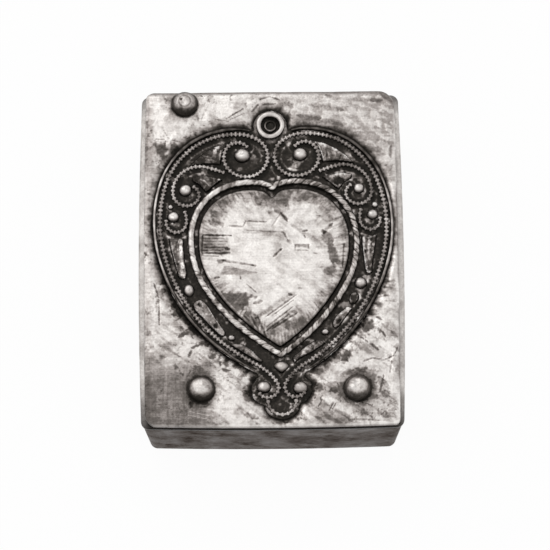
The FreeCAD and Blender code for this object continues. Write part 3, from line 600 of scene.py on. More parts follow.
def lidFace(points, depth):
    x, y = points[:, 0], points[:, 1]
    inlay = depthInside(points, groundOutline)
    slow = clouds(points, 9.0, 1, 2)
    mid = clouds(points, 3.6, 2, 4)
    fine = clouds(points, 1.1, 3, 3)
    small = clouds(points, 0.6, 4, 2)
    height = lidTop - lidPlate["below"] + 0.05 * slow + 0.022 * mid + 0.010 * fine + 0.004 * small
    tone = lidPlate["bright"] + lidPlate["hammering"] * smooth(-0.1, 0.7, mid)
    tone += 0.08 * smooth(0.0, 0.7, fine) + 0.05 * smooth(0.1, 0.6, small)

    mottled = smooth(2, 9, x) * smooth(20, 27, y)  # the back right corner is dappled
    mottled += 0.3 * smooth(22, 25, x) * smooth(-14, -4, y)
    dapple = clouds(points @ np.array([[0.95, 0.3], [-0.3, 0.95]]), 1.7, 5, 4, (1.5, 0.8))
    tone += mottled * (0.07 + lidPlate["dappling"] * smooth(-0.06, 0.16, dapple) - 0.8 * (tone - 0.12))
    height -= mottled * 0.05 * smooth(-0.1, 0.2, dapple)

    brushed = smooth(-11, -17, x) * smooth(-21, -30, y)  # the front left corner is filed, and grey
    brushed += 0.35 * smooth(-26, -28, x)
    strokes = clouds(points, 1.0, 6, 2, (0.35, 8))
    tone += brushed * (lidPlate["filing"] + 0.06 * strokes - 0.75 * (tone - 0.14))
    height += brushed * 0.014 * strokes

    torn = smooth(6, 14, x) * smooth(-9, -15, y)  # flaked at the front right and the back left
    torn = np.clip(torn + 0.8 * smooth(-18, -22, x) * smooth(18, 23, y), 0, 1)
    flake = flakes(points, 3.4, 8)
    height += torn * 0.07 * (flake - 0.5)
    tone += torn * lidPlate["flaking"] * smooth(0.62, 0.7, flake)

    streaks = clouds(points @ np.array([[0.8, 0.6], [-0.6, 0.8]]), 2.2, 9, 3, (3.0, 0.5))
    lower = smooth(-8, -20, y) * (1 - brushed)
    tone += lower * (0.03 + lidPlate["streaks"] * smooth(0.0, 0.5, streaks))

    pitted = smooth(0.42, 0.62, clouds(points, 0.55, 11, 2))
    pitted *= smooth(0.05, 0.5, clouds(points, 5.0, 12, 2) + 0.25)
    height -= lidPlate["pitDepth"] * pitted
    tone += lidPlate["pitTone"] * pitted * (1 - 0.7 * np.clip(mottled, 0, 1))

    stain(points, height, tone, lidPlate["stains"])
    cutMarks(points, height, tone, lidPlate["scratches"])

    ragged = inlay + 0.30 * mid + 0.12 * fine  # oxide lies along the inlay, and streaks out from its foot
    beside = (inlay > -6) & (inlay < 1)
    strokes = np.zeros(len(points))
    strokes[beside] = radiating(points[beside], inlay[beside], groundOutline, 1.3, 3.0, 15)
    flecks = clouds(points, 1.4, 16, 4)
    smeared = smooth(3, 8, x) * smooth(-5, -12, y) * smooth(-29, -26, y)
    low = smooth(-2, -10, y) * smooth(-34, -26, y) * (1 - 0.35 * smeared)
    crown = smooth(14, 20, y)
    edge = lidPlate["oxideEdge"] * smooth(-1.1, -0.1, ragged)
    edge += lidPlate["oxideEdge"] * smooth(-0.45, 0.0, inlay)
    tone += edge * (1 - 0.4 * smeared)
    tone += lidPlate["oxideCrown"] * smooth(-3.4, -0.6, ragged) * crown
    spread = lidPlate["oxideSpread"] * smooth(-3.6, -0.8, inlay + 0.8 * slow)
    tone += spread * low * smooth(0.0, 0.40, 0.6 * strokes + 0.9 * flecks)
    tone += 0.15 * smooth(-2.6, -0.5, inlay) * smooth(0.0, 0.4, strokes)
    tone += 0.14 * smooth(-2.2, -0.4, inlay) * smooth(-8, -16, x)
    tone -= 0.12 * smooth(-1.4, -0.3, inlay) * smooth(-18, -23, x) * smooth(-2, 4, y)
    tone -= 0.06 * smooth(20, 25, x) * smooth(-2, -8, y)
    tone -= 0.05 * smooth(22, 25.5, x) * smooth(26, 20, y)
    height += 0.03 * smooth(-3.0, -1.0, inlay) * strokes
    height -= 0.10 * smooth(-3.2, -1.4, ragged)
    height -= 0.40 * smooth(-1.3, 0.1, inlay) + 0.55 * smooth(0.1, 0.7, inlay)

    nearStud = np.zeros(len(points), bool)
    for name in studNames:
        centre, radii = studPlace(name)
        away = np.hypot(x - centre[0], y - centre[1]) - radii[0]
        tone += lidPlate["oxideStuds"] * (1 - smooth(-0.05, 0.45, away + 0.12 * fine))
        tone += 0.16 * (1 - smooth(0.3, 2.0, away))
        height -= 0.10 * (1 - smooth(0.0, 0.6, away))
        nearStud |= away < 0.6

    most = np.where(nearStud, 0.82, lidPlate["darkest"] + 0.10 * smooth(-0.4, 0.4, fine))
    tone = np.minimum(tone, np.where(inlay > -1.0, 1.0, most))
    cutMarks(points, height, tone, lidPlate["drips"])
    rounding = lidPlate["edgeRound"] * (1 + 0.5 * clouds(points, 7.0, 14, 2))
    rounding += 0.5 * smooth(24.5, 28, x) * smooth(34, 38.5, y)
    inside = np.clip(rounding - depth, 0, rounding)
    height -= rounding - np.sqrt(np.maximum(rounding ** 2 - inside ** 2, 0))
    height -= 0.16 * (1 - smooth(0.3, 1.6, depth + 0.3 * slow))
    corner = smooth(4.5, 5.2, np.hypot(np.maximum(x - 23.5, 0), np.maximum(y - 34.2, 0)) + 0.3 * slow)
    tone += (0.47 - tone) * 0.9 * corner  # the back right corner is broken down and dull
    height -= lidPlate["brokenCorner"] * corner
    tone -= 0.16 * (1 - smooth(0.1, 0.6, depth)) * smooth(26, 27.5, x) * (1 - corner)  # rubbed right edge
    tone -= 0.12 * (1 - smooth(0.0, 0.35, depth)) * smooth(-38.6, -39.2, y)  # rubbed front edge
    return np.minimum(height, lidTop), tone


def awayFromInlay(grid):  # every ninth point is enough under the heart
    keep = depthInside(grid, groundOutline) < 1.2
    keep[::9] = True
    return keep


lid = makePiece("lidPlate", *reliefPlate(
    lidOutline, lidFace, lidLow[2] + 0.02, lidPlate["spacing"], lidPlate["insets"], awayFromInlay, 0.45))
lid.data.materials.append(silver)
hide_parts("lid_plate")
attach(lid, "lid")
print("lid plate", len(lid.data.polygons))


# Black ground under the scrollwork, left lumpy from the casting

groundPlate = {
    "spacing": 0.36, "insets": (0.2, 0.45), "below": 0.10, "slope": 0.62, "lump": 0.09,
    "seat": 0.22, "seatWidth": 0.85, "lip": 0.10,  # the wires' seats, and the lip pushed up beside them
    "black": 0.90, "rubbed": 0.46, "grit": 0.18, "smear": 0.26,
    "ridges": ((0.75, 0.16, 0.13), (1.25, 0.14, 0.10)),  # place in from the edge, width and rise
    "stains": [(8.0, -29.9, 0.9, 0.8, 0, 0.0, 0.4)],
}

outerRun = np.vstack([
    arcRun(drawing["crown"], 180, drawing["curl"])[::-1],
    arcRun(drawing["crown"], 0, drawing["flank"] + drawing["foot"])[1:]])
wireRuns = {
    "outer_scroll": outerRun, "side_scroll": arcRun(*drawing["sideScroll"]),
    "small_scroll": arcRun(*drawing["smallScroll"])}


def groundFace(points, depth):
    lumps = clouds(points, 1.5, 21, 4)
    grit = clouds(points, 0.5, 22, 2)
    slow = clouds(points, 6.0, 23, 2)
    height = groundTop - groundPlate["below"] + groundPlate["lump"] * lumps
    height -= groundPlate["slope"] * (1 - smooth(-0.2, 0.9, depth))
    tone = groundPlate["black"] - groundPlate["rubbed"] * smooth(0.05, 0.6, lumps) * smooth(-0.6, 0.2, slow)
    tone -= groundPlate["grit"] * smooth(0.1, 0.6, grit)
    near = np.full(len(points), 1e9)
    for run in wireRuns.values():
        for side in (1, -1):
            near = np.minimum(near, lineDistance(points, onLid(run[::3], side)))
    height += groundPlate["seat"] * np.exp(-(near / groundPlate["seatWidth"]) ** 2)
    lip = np.exp(-((near - 1.45 - 0.1 * slow) / 0.2) ** 2) * smooth(-0.5, 0.5, slow)
    height += groundPlate["lip"] * lip
    # painted shadow beside the wires, darkest about 0.8 mm from their line; the raised lip beside it is
    # lighter
    tone += 0.25 * np.exp(-((near - 0.8) / 0.45) ** 2) - 0.38 * lip
    away = np.hypot(*(points - ringCentre).T)
    underRing = 1 - smooth(2.2, 2.8, away)
    tone += 0.5 * underRing - 0.34 * smooth(2.8, 3.3, away) * (1 - smooth(3.9, 4.6, away))
    height -= 0.1 * underRing
    bank = smooth(3, 8, points[:, 0]) * smooth(-5, -12, points[:, 1]) * smooth(-29, -26, points[:, 1])
    bank *= 1 - smooth(1.5, 2.3, depth)  # smeared grey beside the front right flank
    drawnOut = clouds(points @ np.array([[0.74, 0.67], [-0.67, 0.74]]).T, 1.3, 24, 3, (0.4, 4.0))
    tone -= bank * (0.16 + groundPlate["smear"] * smooth(-0.1, 0.3, drawnOut))
    for place, width, rise in groundPlate["ridges"]:
        ridge = np.exp(-((depth + 0.12 * slow - place) / width) ** 2) * smooth(-0.35, 0.25, slow)
        height += rise * ridge
        tone -= 0.30 * ridge
    stain(points, height, tone, groundPlate["stains"])
    return height, np.where(away < 2.6, np.maximum(tone, 0.86), tone)


ground = makePiece("heartGround", *reliefPlate(
    groundOutline, groundFace, groundLow[2], groundPlate["spacing"], groundPlate["insets"], underTone=0.9))
ground.data.materials.append(oxide)
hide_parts("heart_backplate")
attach(ground, "lid")
print("ground", len(ground.data.polygons))


# Heart panel: domed edge, scraped nearly white in the middle, brush strokes and painted shade round its edge

heartPanel = {
    "edgeRound": 0.75, "grow": 0.35, "spacing": 0.2, "insets": (0.06, 0.16, 0.3, 0.48),
    "below": 0.05, "middle": (0.6, -1.0),  # the strokes round the edge point at the middle
    "bright": 0.07, "brushingAndShade": 0.16, "hairs": 0.20, "drifts": 0.10, "darkest": 0.74,
    "edgeGlint": 0.18, "edgeOxide": 0.6,
    "smears": [  # outline, tone, depth, and how soft and how ragged its edge is
        ([(-12.3, -0.8), (-10.2, -0.9), (-10.2, -1.9), (-12.0, -2.0)], 0.36, 0.03, 0.10, 0.08),
        ([(-10.6, -1.4), (-3.8, -2.4), (-2.6, -4.0), (-9.8, -2.6), (-11.6, -2.8)], 0.16, 0.01, 0.10, 0.08),
        ([(-10.6, -2.5), (-9.6, -2.5), (-5.6, -3.5), (-2.5, -4.15), (-5.6, -4.55), (-11.6, -4.6)],
         0.36, 0.04, 0.10, 0.08),
        ([(0.2, 12.0), (0.9, 12.1), (2.9, 10.4), (2.2, 9.4), (0.9, 10.2)], 0.42, 0.04, 0.10, 0.08),
        ([(-10.4, -9.0), (-7.6, -8.9), (-4.6, -9.2), (-3.6, -9.9), (-5.2, -10.6), (-5.4, -12.0),
          (-6.8, -12.1), (-8.0, -12.9), (-9.6, -12.0), (-12.2, -10.0)], 0.60, 0.05, 0.40, 0.45),
        ([(5.3, 2.5), (8.6, 2.5), (8.5, 1.7), (5.4, 1.8)], 0.36, 0.03, 0.10, 0.08)],
    "scratches": [
        (2.2, 10.2, 3.7, 8.0, 0.75, 0.06, 0.6), (2.2, 9.9, 0.3, 7.0, 0.35, 0.04, 0.3),
        (-9.6, 7.1, -6.3, 6.8, 0.55, 0.04, 0.32),
        (-6.3, 6.8, -5.7, 8.1, 0.4, 0.04, 0.3), (-5.8, 8.1, -1.0, 7.9, 0.4, 0.04, 0.34),
        (-6.2, 6.0, 2.9, 5.4, 0.3, 0.03, 0.25), (2.8, 5.4, 3.7, 3.6, 0.5, 0.05, 0.42),
        (3.7, 3.6, 4.6, 2.6, 0.7, 0.04, 0.25), (7.0, 5.6, 8.4, 5.8, 0.5, 0.05, 0.4),
        (7.5, 4.7, 7.7, 4.0, 0.45, 0.05, 0.45), (4.6, 7.2, 11.4, 2.6, 0.6, 1.8, 0.03, 0.24),
        (-5.8, 8.4, -1.0, 8.2, 0.5, 1.4, 0.03, 0.14), (-6.2, 5.6, 2.6, 4.9, 0.6, 1.6, 0.02, 0.10),
        (0.5, -0.35, 2.4, 1.5, 0.55, 0.06, 0.5), (5.4, 2.4, 8.5, 2.4, 0.5, 0.5, 0.05, 0.20),
        (5.4, 2.4, 5.4, 1.0, 0.4, 0.04, 0.3), (8.5, 2.4, 8.4, 1.2, 0.4, 0.03, 0.25),
        (5.5, 1.1, 8.4, 1.0, 0.3, 0.03, 0.25), (-15.4, 4.9, -8.9, 4.7, 0.5, 0.07, 0.65),
        (-15.4, 4.9, -15.6, 0.4, 0.45, 0.06, 0.5), (-15.2, 4.1, -10.5, 4.1, 0.3, 0.03, 0.3),
        (-15.2, 3.4, -9.8, 3.3, 0.3, 0.03, 0.35), (-15.0, 2.7, -10.2, 2.7, 0.3, 0.03, 0.3),
        (-15.2, 1.9, -9.6, 1.9, 0.35, 0.03, 0.35), (-15.4, 1.2, -10.8, 1.3, 0.4, 0.03, 0.35),
        (-15.4, 0.6, -9.2, 0.6, 0.5, 0.06, 0.6), (-15.2, -0.1, -11.8, -0.2, 0.3, 0.03, 0.35),
        (-10.8, -1.2, -3.6, -2.5, 0.6, 0.5, 0.05, 0.34),
        (-5.0, -2.1, -3.9, -2.4, 0.45, 0.04, 0.35), (-12.8, -5.3, -11.6, -5.2, 0.6, 0.05, 0.45),
        (-7.0, -5.0, -6.9, -5.7, 0.4, 0.05, 0.5), (-5.6, -6.8, -3.4, -8.8, 0.35, 0.04, 0.38),
        (-4.1, -11.4, -2.0, -10.8, 0.8, 0.05, 0.38), (5.6, -9.4, -1.4, -14.6, 0.45, 0.07, 0.42),
        (4.4, -9.3, -3.6, -14.9, 1.8, 0.6, 0.03, 0.26), (6.0, -12.6, -1.0, -17.6, 2.2, 0.8, 0.03, 0.22),
        (5.0, -10.6, 0.2, -14.2, 0.3, 0.04, 0.4), (4.8, -12.2, -1.2, -16.9, 0.4, 0.05, 0.42),
        (5.8, -13.6, 0.0, -17.4, 0.5, 0.04, 0.34),
        (4.0, -13.9, -2.0, -18.4, 0.35, 0.04, 0.34), (3.8, -9.1, 4.6, -9.5, 0.8, 0.05, 0.45),
        (0.9, -16.4, 3.6, -17.8, 0.5, -0.04, -0.25), (6.0, -7.8, 6.9, -8.0, 0.4, 0.04, 0.35),
        (-3.2, -14.2, -1.2, -19.4, 0.5, 0.04, 0.32), (-4.6, -14.4, -2.8, -18.0, 0.5, 0.04, 0.34),
        (-6.4, -14.0, -4.0, -17.0, 0.5, 0.04, 0.34), (-13.8, -8.6, -9.4, -14.0, 0.5, 0.06, 0.5),
        (-9.4, -14.0, -5.0, -18.2, 0.4, 0.05, 0.4), (11.6, 6.0, 11.9, 4.9, 0.8, 0.05, 0.55),
        (13.9, 7.4, 11.8, 5.2, 0.8, 0.05, 0.4), (10.2, 9.4, 11.2, 9.2, 0.4, 0.03, 0.3),
        (9.4, 0.4, 10.4, 0.3, 0.35, 0.03, 0.3), (16.4, 2.6, 16.0, -3.4, 0.5, 0.05, 0.4),
        (10.8, -16.0, 14.0, -12.6, 0.4, 0.04, 0.3), (-10.4, 1.6, -9.4, 1.5, 0.6, 0.05, 0.5)],
    "stains": [
        (-9.0, -11.0, 3.6, 1.7, -20, 0.06, 0.42), (-11.6, -9.4, 2.2, 1.0, -10, 0.05, 0.34),
        (-4.4, -15.0, 2.4, 2.0, -40, 0.04, 0.23), (12.8, 3.8, 1.3, 2.2, 20, 0.04, 0.36),
        (13.9, -0.2, 1.2, 2.8, 10, 0.04, 0.36), (13.2, -3.6, 2.2, 1.5, 0, 0.04, 0.34),
        (1.4, -17.2, 3.0, 1.9, 20, 0.04, 0.22), (5.6, -15.8, 2.6, 1.5, 30, 0.03, 0.19),
        (5.0, -13.4, 0.8, 0.6, 0, 0.03, 0.18), (-12.6, 9.4, 2.0, 1.6, -30, 0.04, 0.23),
        (12.0, 9.4, 2.2, 2.2, 0, 0.03, 0.16), (-10.2, 13.0, 2.4, 1.2, 30, 0.03, 0.17),
        (9.0, 13.4, 3.0, 1.4, -15, 0.03, 0.19), (3.4, 12.4, 0.8, 2.0, 25, 0.04, 0.24),
        (-12.0, 7.6, 2.4, 0.8, -15, 0.04, 0.23),
        (-12.4, 2.4, 3.6, 2.8, 0, 0.02, 0.20), (0.0, 13.0, 7.0, 1.8, 0, 0.02, 0.17)],
}


def panelFace(points, depth):
    x, y = points[:, 0], points[:, 1]
    slow = clouds(points, 8.0, 31, 2)
    mid = clouds(points, 3.0, 32, 4)
    fine = clouds(points, 0.9, 33, 3)
    sweepLines = clouds(points @ np.array([[0.77, 0.64], [-0.64, 0.77]]), 1.6, 34, 3, (4.0, 0.35))
    height = panelTop - heartPanel["below"] + 0.03 * slow + 0.018 * mid + 0.006 * sweepLines
    tone = heartPanel["bright"] + 0.09 * smooth(0.0, 0.8, mid) + 0.06 * smooth(0.0, 0.8, sweepLines)

    angle = np.arctan2(y - heartPanel["middle"][1], x - heartPanel["middle"][0])
    combed = np.array([noise.fractal((a * 9, d * 0.22, 5.0), 1.0, 2.0, 3) for a, d in zip(angle, depth)])
    clean = 1 - 0.85 * np.exp(-((y + 3.0) / 3.2) ** 2) * smooth(2, -4, x)  # the edge strokes and painted shade are lighter at the left
    # brush strokes round the edge, with painted shade where the domed edge turns down
    rim = (1 - smooth(0.4, 4.6, depth + 1.2 * mid)) * clean
    hairs = np.array([noise.fractal((a * 34, d * 0.35, 9.0), 1.0, 2.0, 3) for a, d in zip(angle, depth)])
    brushingAndShade = 0.14 + heartPanel["brushingAndShade"] * smooth(-0.05, 0.55, combed)
    tone += rim * (brushingAndShade + heartPanel["hairs"] * smooth(0.02, 0.35, hairs))
    # painted shade along the rounded edge, deeper at the top; then a broader painted shade combed in from the
    # edge
    tone += (0.16 + 0.12 * smooth(7, 12, y)) * (1 - smooth(0.2, 1.4, depth))
    tone += 0.10 * (1 - smooth(3.0, 9.0, depth + 2.5 * slow)) * smooth(0.0, 0.5, combed + 0.2) * clean
    tone += heartPanel["drifts"] * smooth(0.05, 0.6, clouds(points, 4.5, 35, 3, (1.6, 0.8)))
    height -= rim * 0.03 * smooth(0, 0.5, combed)

    stain(points, height, tone, heartPanel["stains"])
    tone += 0.14 * smooth(0.35, 0.8, fine) * smooth(0.18, 0.4, tone)
    tone = np.minimum(tone, 0.50 + 0.12 * smooth(-0.4, 0.4, fine))
    for corners, shade, sunk, soft, ragged in heartPanel["smears"]:
        inside = depthInside(points, np.array(corners)) + ragged * fine
        tone += (shade + 0.10 * hairs + 0.05 * fine - tone) * smooth(-soft, soft, inside)
        height -= sunk * smooth(-0.05, 0.4, inside)
    cutMarks(points, height, tone, heartPanel["scratches"])
    tone = np.minimum(tone, heartPanel["darkest"])
    tone -= heartPanel["edgeGlint"] * np.exp(-((depth - 0.62) / 0.16) ** 2) * smooth(-0.4, 0.3, slow)

    rounding = heartPanel["edgeRound"] * (1 + 0.2 * slow)
    inside = np.clip(rounding - depth, 0, rounding)
    height -= 0.8 * (rounding - np.sqrt(np.maximum(rounding ** 2 - inside ** 2, 0)))
    tone += heartPanel["edgeOxide"] * (1 - smooth(0.02, 0.35, depth))
    return np.minimum(height, panelTop), tone


panel = makePiece("heartPanel", *reliefPlate(
    grown(evenly(panelOutline, 0.3), heartPanel["grow"]), panelFace, panelLow[2], heartPanel["spacing"],
    heartPanel["insets"], underTone=0.95))
panel.data.materials.append(silver)
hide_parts("heart_panel")
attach(panel, "lid")
print("heart panel", len(panel.data.polygons))


# Beaded wire and twisted rope: one node tree sets out the beads along a line, with a core between them

def beadTree():
    tree = bpy.data.node_groups.new("beadedWire", "GeometryNodeTree")
    sockets = (
        ("Line", "NodeSocketGeometry"), ("Pitch", "NodeSocketFloat"), ("Bead size", "NodeSocketVector"),
        ("Unevenness", "NodeSocketFloat"), ("Core radius", "NodeSocketFloat"), ("Seed", "NodeSocketInt"),
        ("Finish", "NodeSocketMaterial"))
    for name, kind in sockets:
        tree.interface.new_socket(name, in_out="INPUT", socket_type=kind)
    tree.interface.new_socket("Wire", in_out="OUTPUT", socket_type="NodeSocketGeometry")
    given = addNode(tree, "NodeGroupInput").outputs
    curve = addNode(tree, "GeometryNodeMeshToCurve", Mesh=given["Line"]).outputs[0]
    spots = addNode(
        tree, "GeometryNodeCurveToPoints", {"mode": "LENGTH"}, Curve=curve, Length=given["Pitch"]).outputs
    facing = addNode(
        tree, "FunctionNodeAlignRotationToVector", {"axis": "X", "pivot_axis": "Z"}, Vector=spots["Tangent"])
    least = addNode(tree, "ShaderNodeMath", {"operation": "SUBTRACT"}, _0=1.0, _1=given["Unevenness"])
    most = addNode(tree, "ShaderNodeMath", {"operation": "ADD"}, _0=1.0, _1=given["Unevenness"])
    uneven = addNode(
        tree, "FunctionNodeRandomValue", {"data_type": "FLOAT"},
        _2=least.outputs[0], _3=most.outputs[0], Seed=given["Seed"])
    size = addNode(
        tree, "ShaderNodeVectorMath", {"operation": "SCALE"},
        Vector=given["Bead size"], Scale=uneven.outputs[1])
    ball = addNode(tree, "GeometryNodeMeshUVSphere", Segments=10, Rings=7, Radius=1.0)
    beads = addNode(
        tree, "GeometryNodeInstanceOnPoints", Points=spots["Points"], Instance=ball.outputs[0],
        Rotation=facing.outputs[0], Scale=size.outputs[0])
    ring = addNode(
        tree, "GeometryNodeCurvePrimitiveCircle", Resolution=8, Radius=given["Core radius"])
    core = addNode(
        tree, "GeometryNodeCurveToMesh", Curve=curve, Profile_Curve=ring.outputs[0], Fill_Caps=True)
    both = addNode(tree, "GeometryNodeJoinGeometry")
    tree.links.new(core.outputs[0], both.inputs[0])
    tree.links.new(beads.outputs[0], both.inputs[0])
    real = addNode(tree, "GeometryNodeRealizeInstances", Geometry=both.outputs[0])
    eased = addNode(tree, "GeometryNodeSetShadeSmooth", Geometry=real.outputs[0])
    finished = addNode(
        tree, "GeometryNodeSetMaterial", Geometry=eased.outputs[0], Material=given["Finish"])
    addNode(tree, "NodeGroupOutput", Wire=finished.outputs[0])
    return tree


beadedWire = beadTree()


def beadLine(name, line, look, finish):  # beads along a line on the lid
    mesh = bpy.data.meshes.new(name + "Line")
    vertices = [(x * mm, y * mm, look["centre"] * mm) for x, y in line]
    mesh.from_pydata(vertices, [(k, k + 1) for k in range(len(line) - 1)], [])
    carrier = bpy.data.objects.new(name + "Line", mesh)
    scene.collection.objects.link(carrier)
    modifier = carrier.modifiers.new("beadedWire", "NODES")
    modifier.node_group = beadedWire
    values = {
        "Pitch": look["pitch"] * mm, "Bead size": [v * mm for v in look["size"]],
        "Unevenness": look["uneven"], "Core radius": look["core"] * mm, "Seed": look["seed"],
        "Finish": finish}
    for item in beadedWire.interface.items_tree:
        if item.in_out == "INPUT" and item.name in values:
            modifier[item.identifier] = values[item.name]
    made = carrier.evaluated_get(bpy.context.evaluated_depsgraph_get())
    solid = bpy.data.meshes.new_from_object(made)
    solid.name = name
    bpy.data.objects.remove(carrier, do_unlink=True)
    piece = bpy.data.objects.new(name, solid)
    scene.collection.objects.link(piece)
    return piece


def wornAndShadedTone(piece, look, seed):  # bright on top; black down the flanks, oxide there and painted shade where they turn from the light
    places = placesOf(piece)
    patch = clouds(places[:, :2], 5.0, seed, 2)
    fine = clouds(places[:, :2], 0.8, seed + 1, 2)
    up = (places[:, 2] - look["centre"]) / look["rise"]
    setTone(piece, look["flank"] - (look["bright"] + 0.16 * patch) * smooth(0.0, 0.8, up) + 0.10 * fine)


wireLook = {  # a bead's size is half its length, width and height; its rise is where it is brightest
    "centre": boxOf("outer_scroll_right")[1][2] - 0.5, "pitch": 0.95, "size": (0.41, 0.63, 0.48),
    "rise": 0.48, "uneven": 0.09, "core": 0.325, "flank": 0.94, "bright": 0.55, "seed": 4}
thinnerWire = {**wireLook, "size": (0.40, 0.58, 0.46), "rise": 0.46, "pitch": 0.92}
loopWire = {**wireLook, "size": (0.50, 0.55, 0.48), "rise": 0.42, "pitch": 1.1, "bright": 0.61}

for number, (stem, run) in enumerate(wireRuns.items()):
    for side, half in ((1, "right"), (-1, "left")):
        node = f"{stem}_{half}"
        look = dict(wireLook if stem == "outer_scroll" else thinnerWire, seed=10 * number + side)
        if half == "left":
            look["bright"] += 0.03
        wire = beadLine(camelCase(node), onLid(run, side), look, beadSilver)
        wornAndShadedTone(wire, look, 40 + number)
        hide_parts(node)
        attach(wire, "lid")

loopX, loopY, loopRadius = drawing["loop"]
loopAngles = np.linspace(math.pi, 2 * math.pi, 40)
loopRun = np.stack([loopX + loopRadius * np.cos(loopAngles), loopY + loopRadius * np.sin(loopAngles)], 1)
bottomLoop = beadLine("bottomLoop", onLid(loopRun), loopWire, beadSilver)
wornAndShadedTone(bottomLoop, loopWire, 47)
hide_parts("bottom_loop")
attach(bottomLoop, "lid")
print("beaded wires", 2 * len(wireRuns) + 1)

ropeLook = {
    "radius": 0.76, "flatten": 0.88, "lay": 3.8, "groove": 0.19, "wornGroove": 0.08, "uneven": 0.35,
    "step": 0.17, "sides": 26, "top": boxOf("rope_bezel")[1][2],
    "flank": 0.98, "crown": 0.80, "hollows": 0.42, "patches": 0.22, "nicks": 0.30}
ropeLine = evenly(heartLine(), ropeLook["step"])
ropeTurns = round(np.linalg.norm(np.roll(ropeLine, -1, axis=0) - ropeLine, axis=1).sum() / ropeLook["lay"])
rubbed = smooth(3, -9, ropeLine[:, 0]) * smooth(-9, 3, ropeLine[:, 1])  # rubbed smooth at the back left
rubbed = np.maximum(rubbed, 0.35 * smooth(2, -6, ropeLine[:, 1]))
rubbed = np.clip(rubbed + 0.35 * clouds(ropeLine, 5.0, 50, 2), 0, 1)
ropeAngles = np.linspace(0, 2 * math.pi, ropeLook["sides"], endpoint=False)
laid = np.linspace(0, 2 * math.pi * ropeTurns, len(ropeLine), endpoint=False)
twist = ropeAngles[None, :] - laid[:, None] + ropeLook["uneven"] * clouds(ropeLine, 4.0, 54, 2)[:, None]
strand = np.abs(np.cos(twist)) ** 0.7  # 1 on the crown of either strand, 0 in the groove
groove = ropeLook["groove"] + (ropeLook["wornGroove"] - ropeLook["groove"]) * rubbed
ropeRadii = ropeLook["radius"] * (1 - groove[:, None] * (1 - strand))
ropeRadii *= 1 + 0.07 * clouds(ropeLine, 1.3, 52, 3)[:, None]
ropeRise = ropeLook["radius"] * ropeLook["flatten"]
ropeCore = np.column_stack([ropeLine, np.full(len(ropeLine), ropeLook["top"] - ropeRise - 0.02)])
ropePoints, ropeFaces = sweep(ropeCore, 1.0, ropeLook["sides"], True)
middles = np.repeat(ropeCore, ropeLook["sides"], axis=0)
ropePoints = middles + (ropePoints - middles) * ropeRadii.reshape(-1, 1) * (1, 1, ropeLook["flatten"])
ropePoints[:, 2] = np.minimum(ropePoints[:, 2], ropeLook["top"])
rubbed = np.repeat(rubbed, ropeLook["sides"])
hollow = (1 - strand.ravel()) * (1 - 0.75 * rubbed)
# painted shade with oxide: bright along the top of the rope, darker down its flanks as they turn from the
# light; oxide in the hollows
ropeTone = ropeLook["flank"] - ropeLook["crown"] * smooth(0.05, 0.85, (ropePoints - middles)[:, 2] / ropeRise)
ropeTone += ropeLook["hollows"] * smooth(0.35, 1.0, hollow) + 0.16 * clouds(ropePoints[:, :2], 1.4, 51, 4)
ropeTone += ropeLook["patches"] * smooth(0.2, 0.6, clouds(ropePoints[:, :2], 2.2, 53, 3))
placeAlong = np.repeat(np.arange(len(ropeLine)), ropeLook["sides"])
nicks = clouds(np.column_stack([placeAlong, twist.ravel() * 9]), 6.0, 55, 3)
ropeTone += ropeLook["nicks"] * smooth(0.15, 0.6, nicks) * (1 - 0.6 * rubbed)
ropeTone += 0.08 * smooth(0, 10, ropePoints[:, 0])  # duller on the right
ropeTone -= 0.03 * smooth(-8, -14, ropePoints[:, 0])
ropeBezel = makePiece("ropeBezel", ropePoints, ropeFaces, ropeTone, 70)
ropeBezel.data.materials.append(beadSilver)
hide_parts("rope_bezel")
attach(ropeBezel, "lid")
print("rope", len(ropeBezel.data.polygons))


# Plain ridges beside the outer scrolls

borderRidge = {
    "offset": 1.3, "radius": 0.36, "flank": 0.92, "crown": 0.36, "top": boxOf("border_wire_right")[1][2]}
for side, half, bare in ((1, "right", 17), (-1, "left", 23)):
    over = arcRun(drawing["crown"], 180, [(8.0, 16.0)], -borderRidge["offset"], 0.4)
    down = arcRun(drawing["crown"], 0, drawing["flank"][:3], borderRidge["offset"], 0.4)
    run = onLid(np.vstack([over[::-1], down[1:]]), side)
    wave = clouds(run, 4.0, 61 + side, 2)
    fine = clouds(run, 1.2, 63 + side, 2)
    share = np.linspace(0, 1, len(run))
    ends = smooth(0, 0.08, share) * smooth(1, 0.9, share)
    shown = smooth(bare + 2.5, bare - 1.0, offLid(run)[:, 1] + 1.0 * wave)  # worn away round the crown
    radius = borderRidge["radius"] * (0.55 + 0.45 * ends) * (1.15 - 0.15 * shown)
    radius *= 1 + 0.18 * wave + 0.1 * fine
    line = np.column_stack([run, borderRidge["top"] - radius - 0.12 * (1 - ends) + 0.04 * wave])
    vertices, faces = sweep(line, radius, 10)
    local = offLid(vertices[:, :2]) * (side, 1)
    bright = smooth(bare + 1.5, bare - 1.5, local[:, 1]) * smooth(-9, 0, local[:, 1])
    dim = 0.06 * smooth(bare - 1.0, bare + 2.5, local[:, 1])
    if side == 1:
        dim += 0.08 * smooth(-6, -12, local[:, 1])
    up = (vertices[:, 2] - borderRidge["top"]) / borderRidge["radius"] + 1
    # painted shade with oxide: bright along the top of the ridge, darker down its flanks
    tone = borderRidge["flank"] - (borderRidge["crown"] - dim + 0.26 * bright) * smooth(0.1, 0.9, up)
    tone += 0.16 * clouds(vertices[:, :2], 1.5, 65, 3)
    ridge = makePiece(camelCase("border_wire_" + half), vertices, faces, tone)
    ridge.data.materials.append(beadSilver)
    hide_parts("border_wire_" + half)
    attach(ridge, "lid")


# Hanging ring and the eyelet inside it

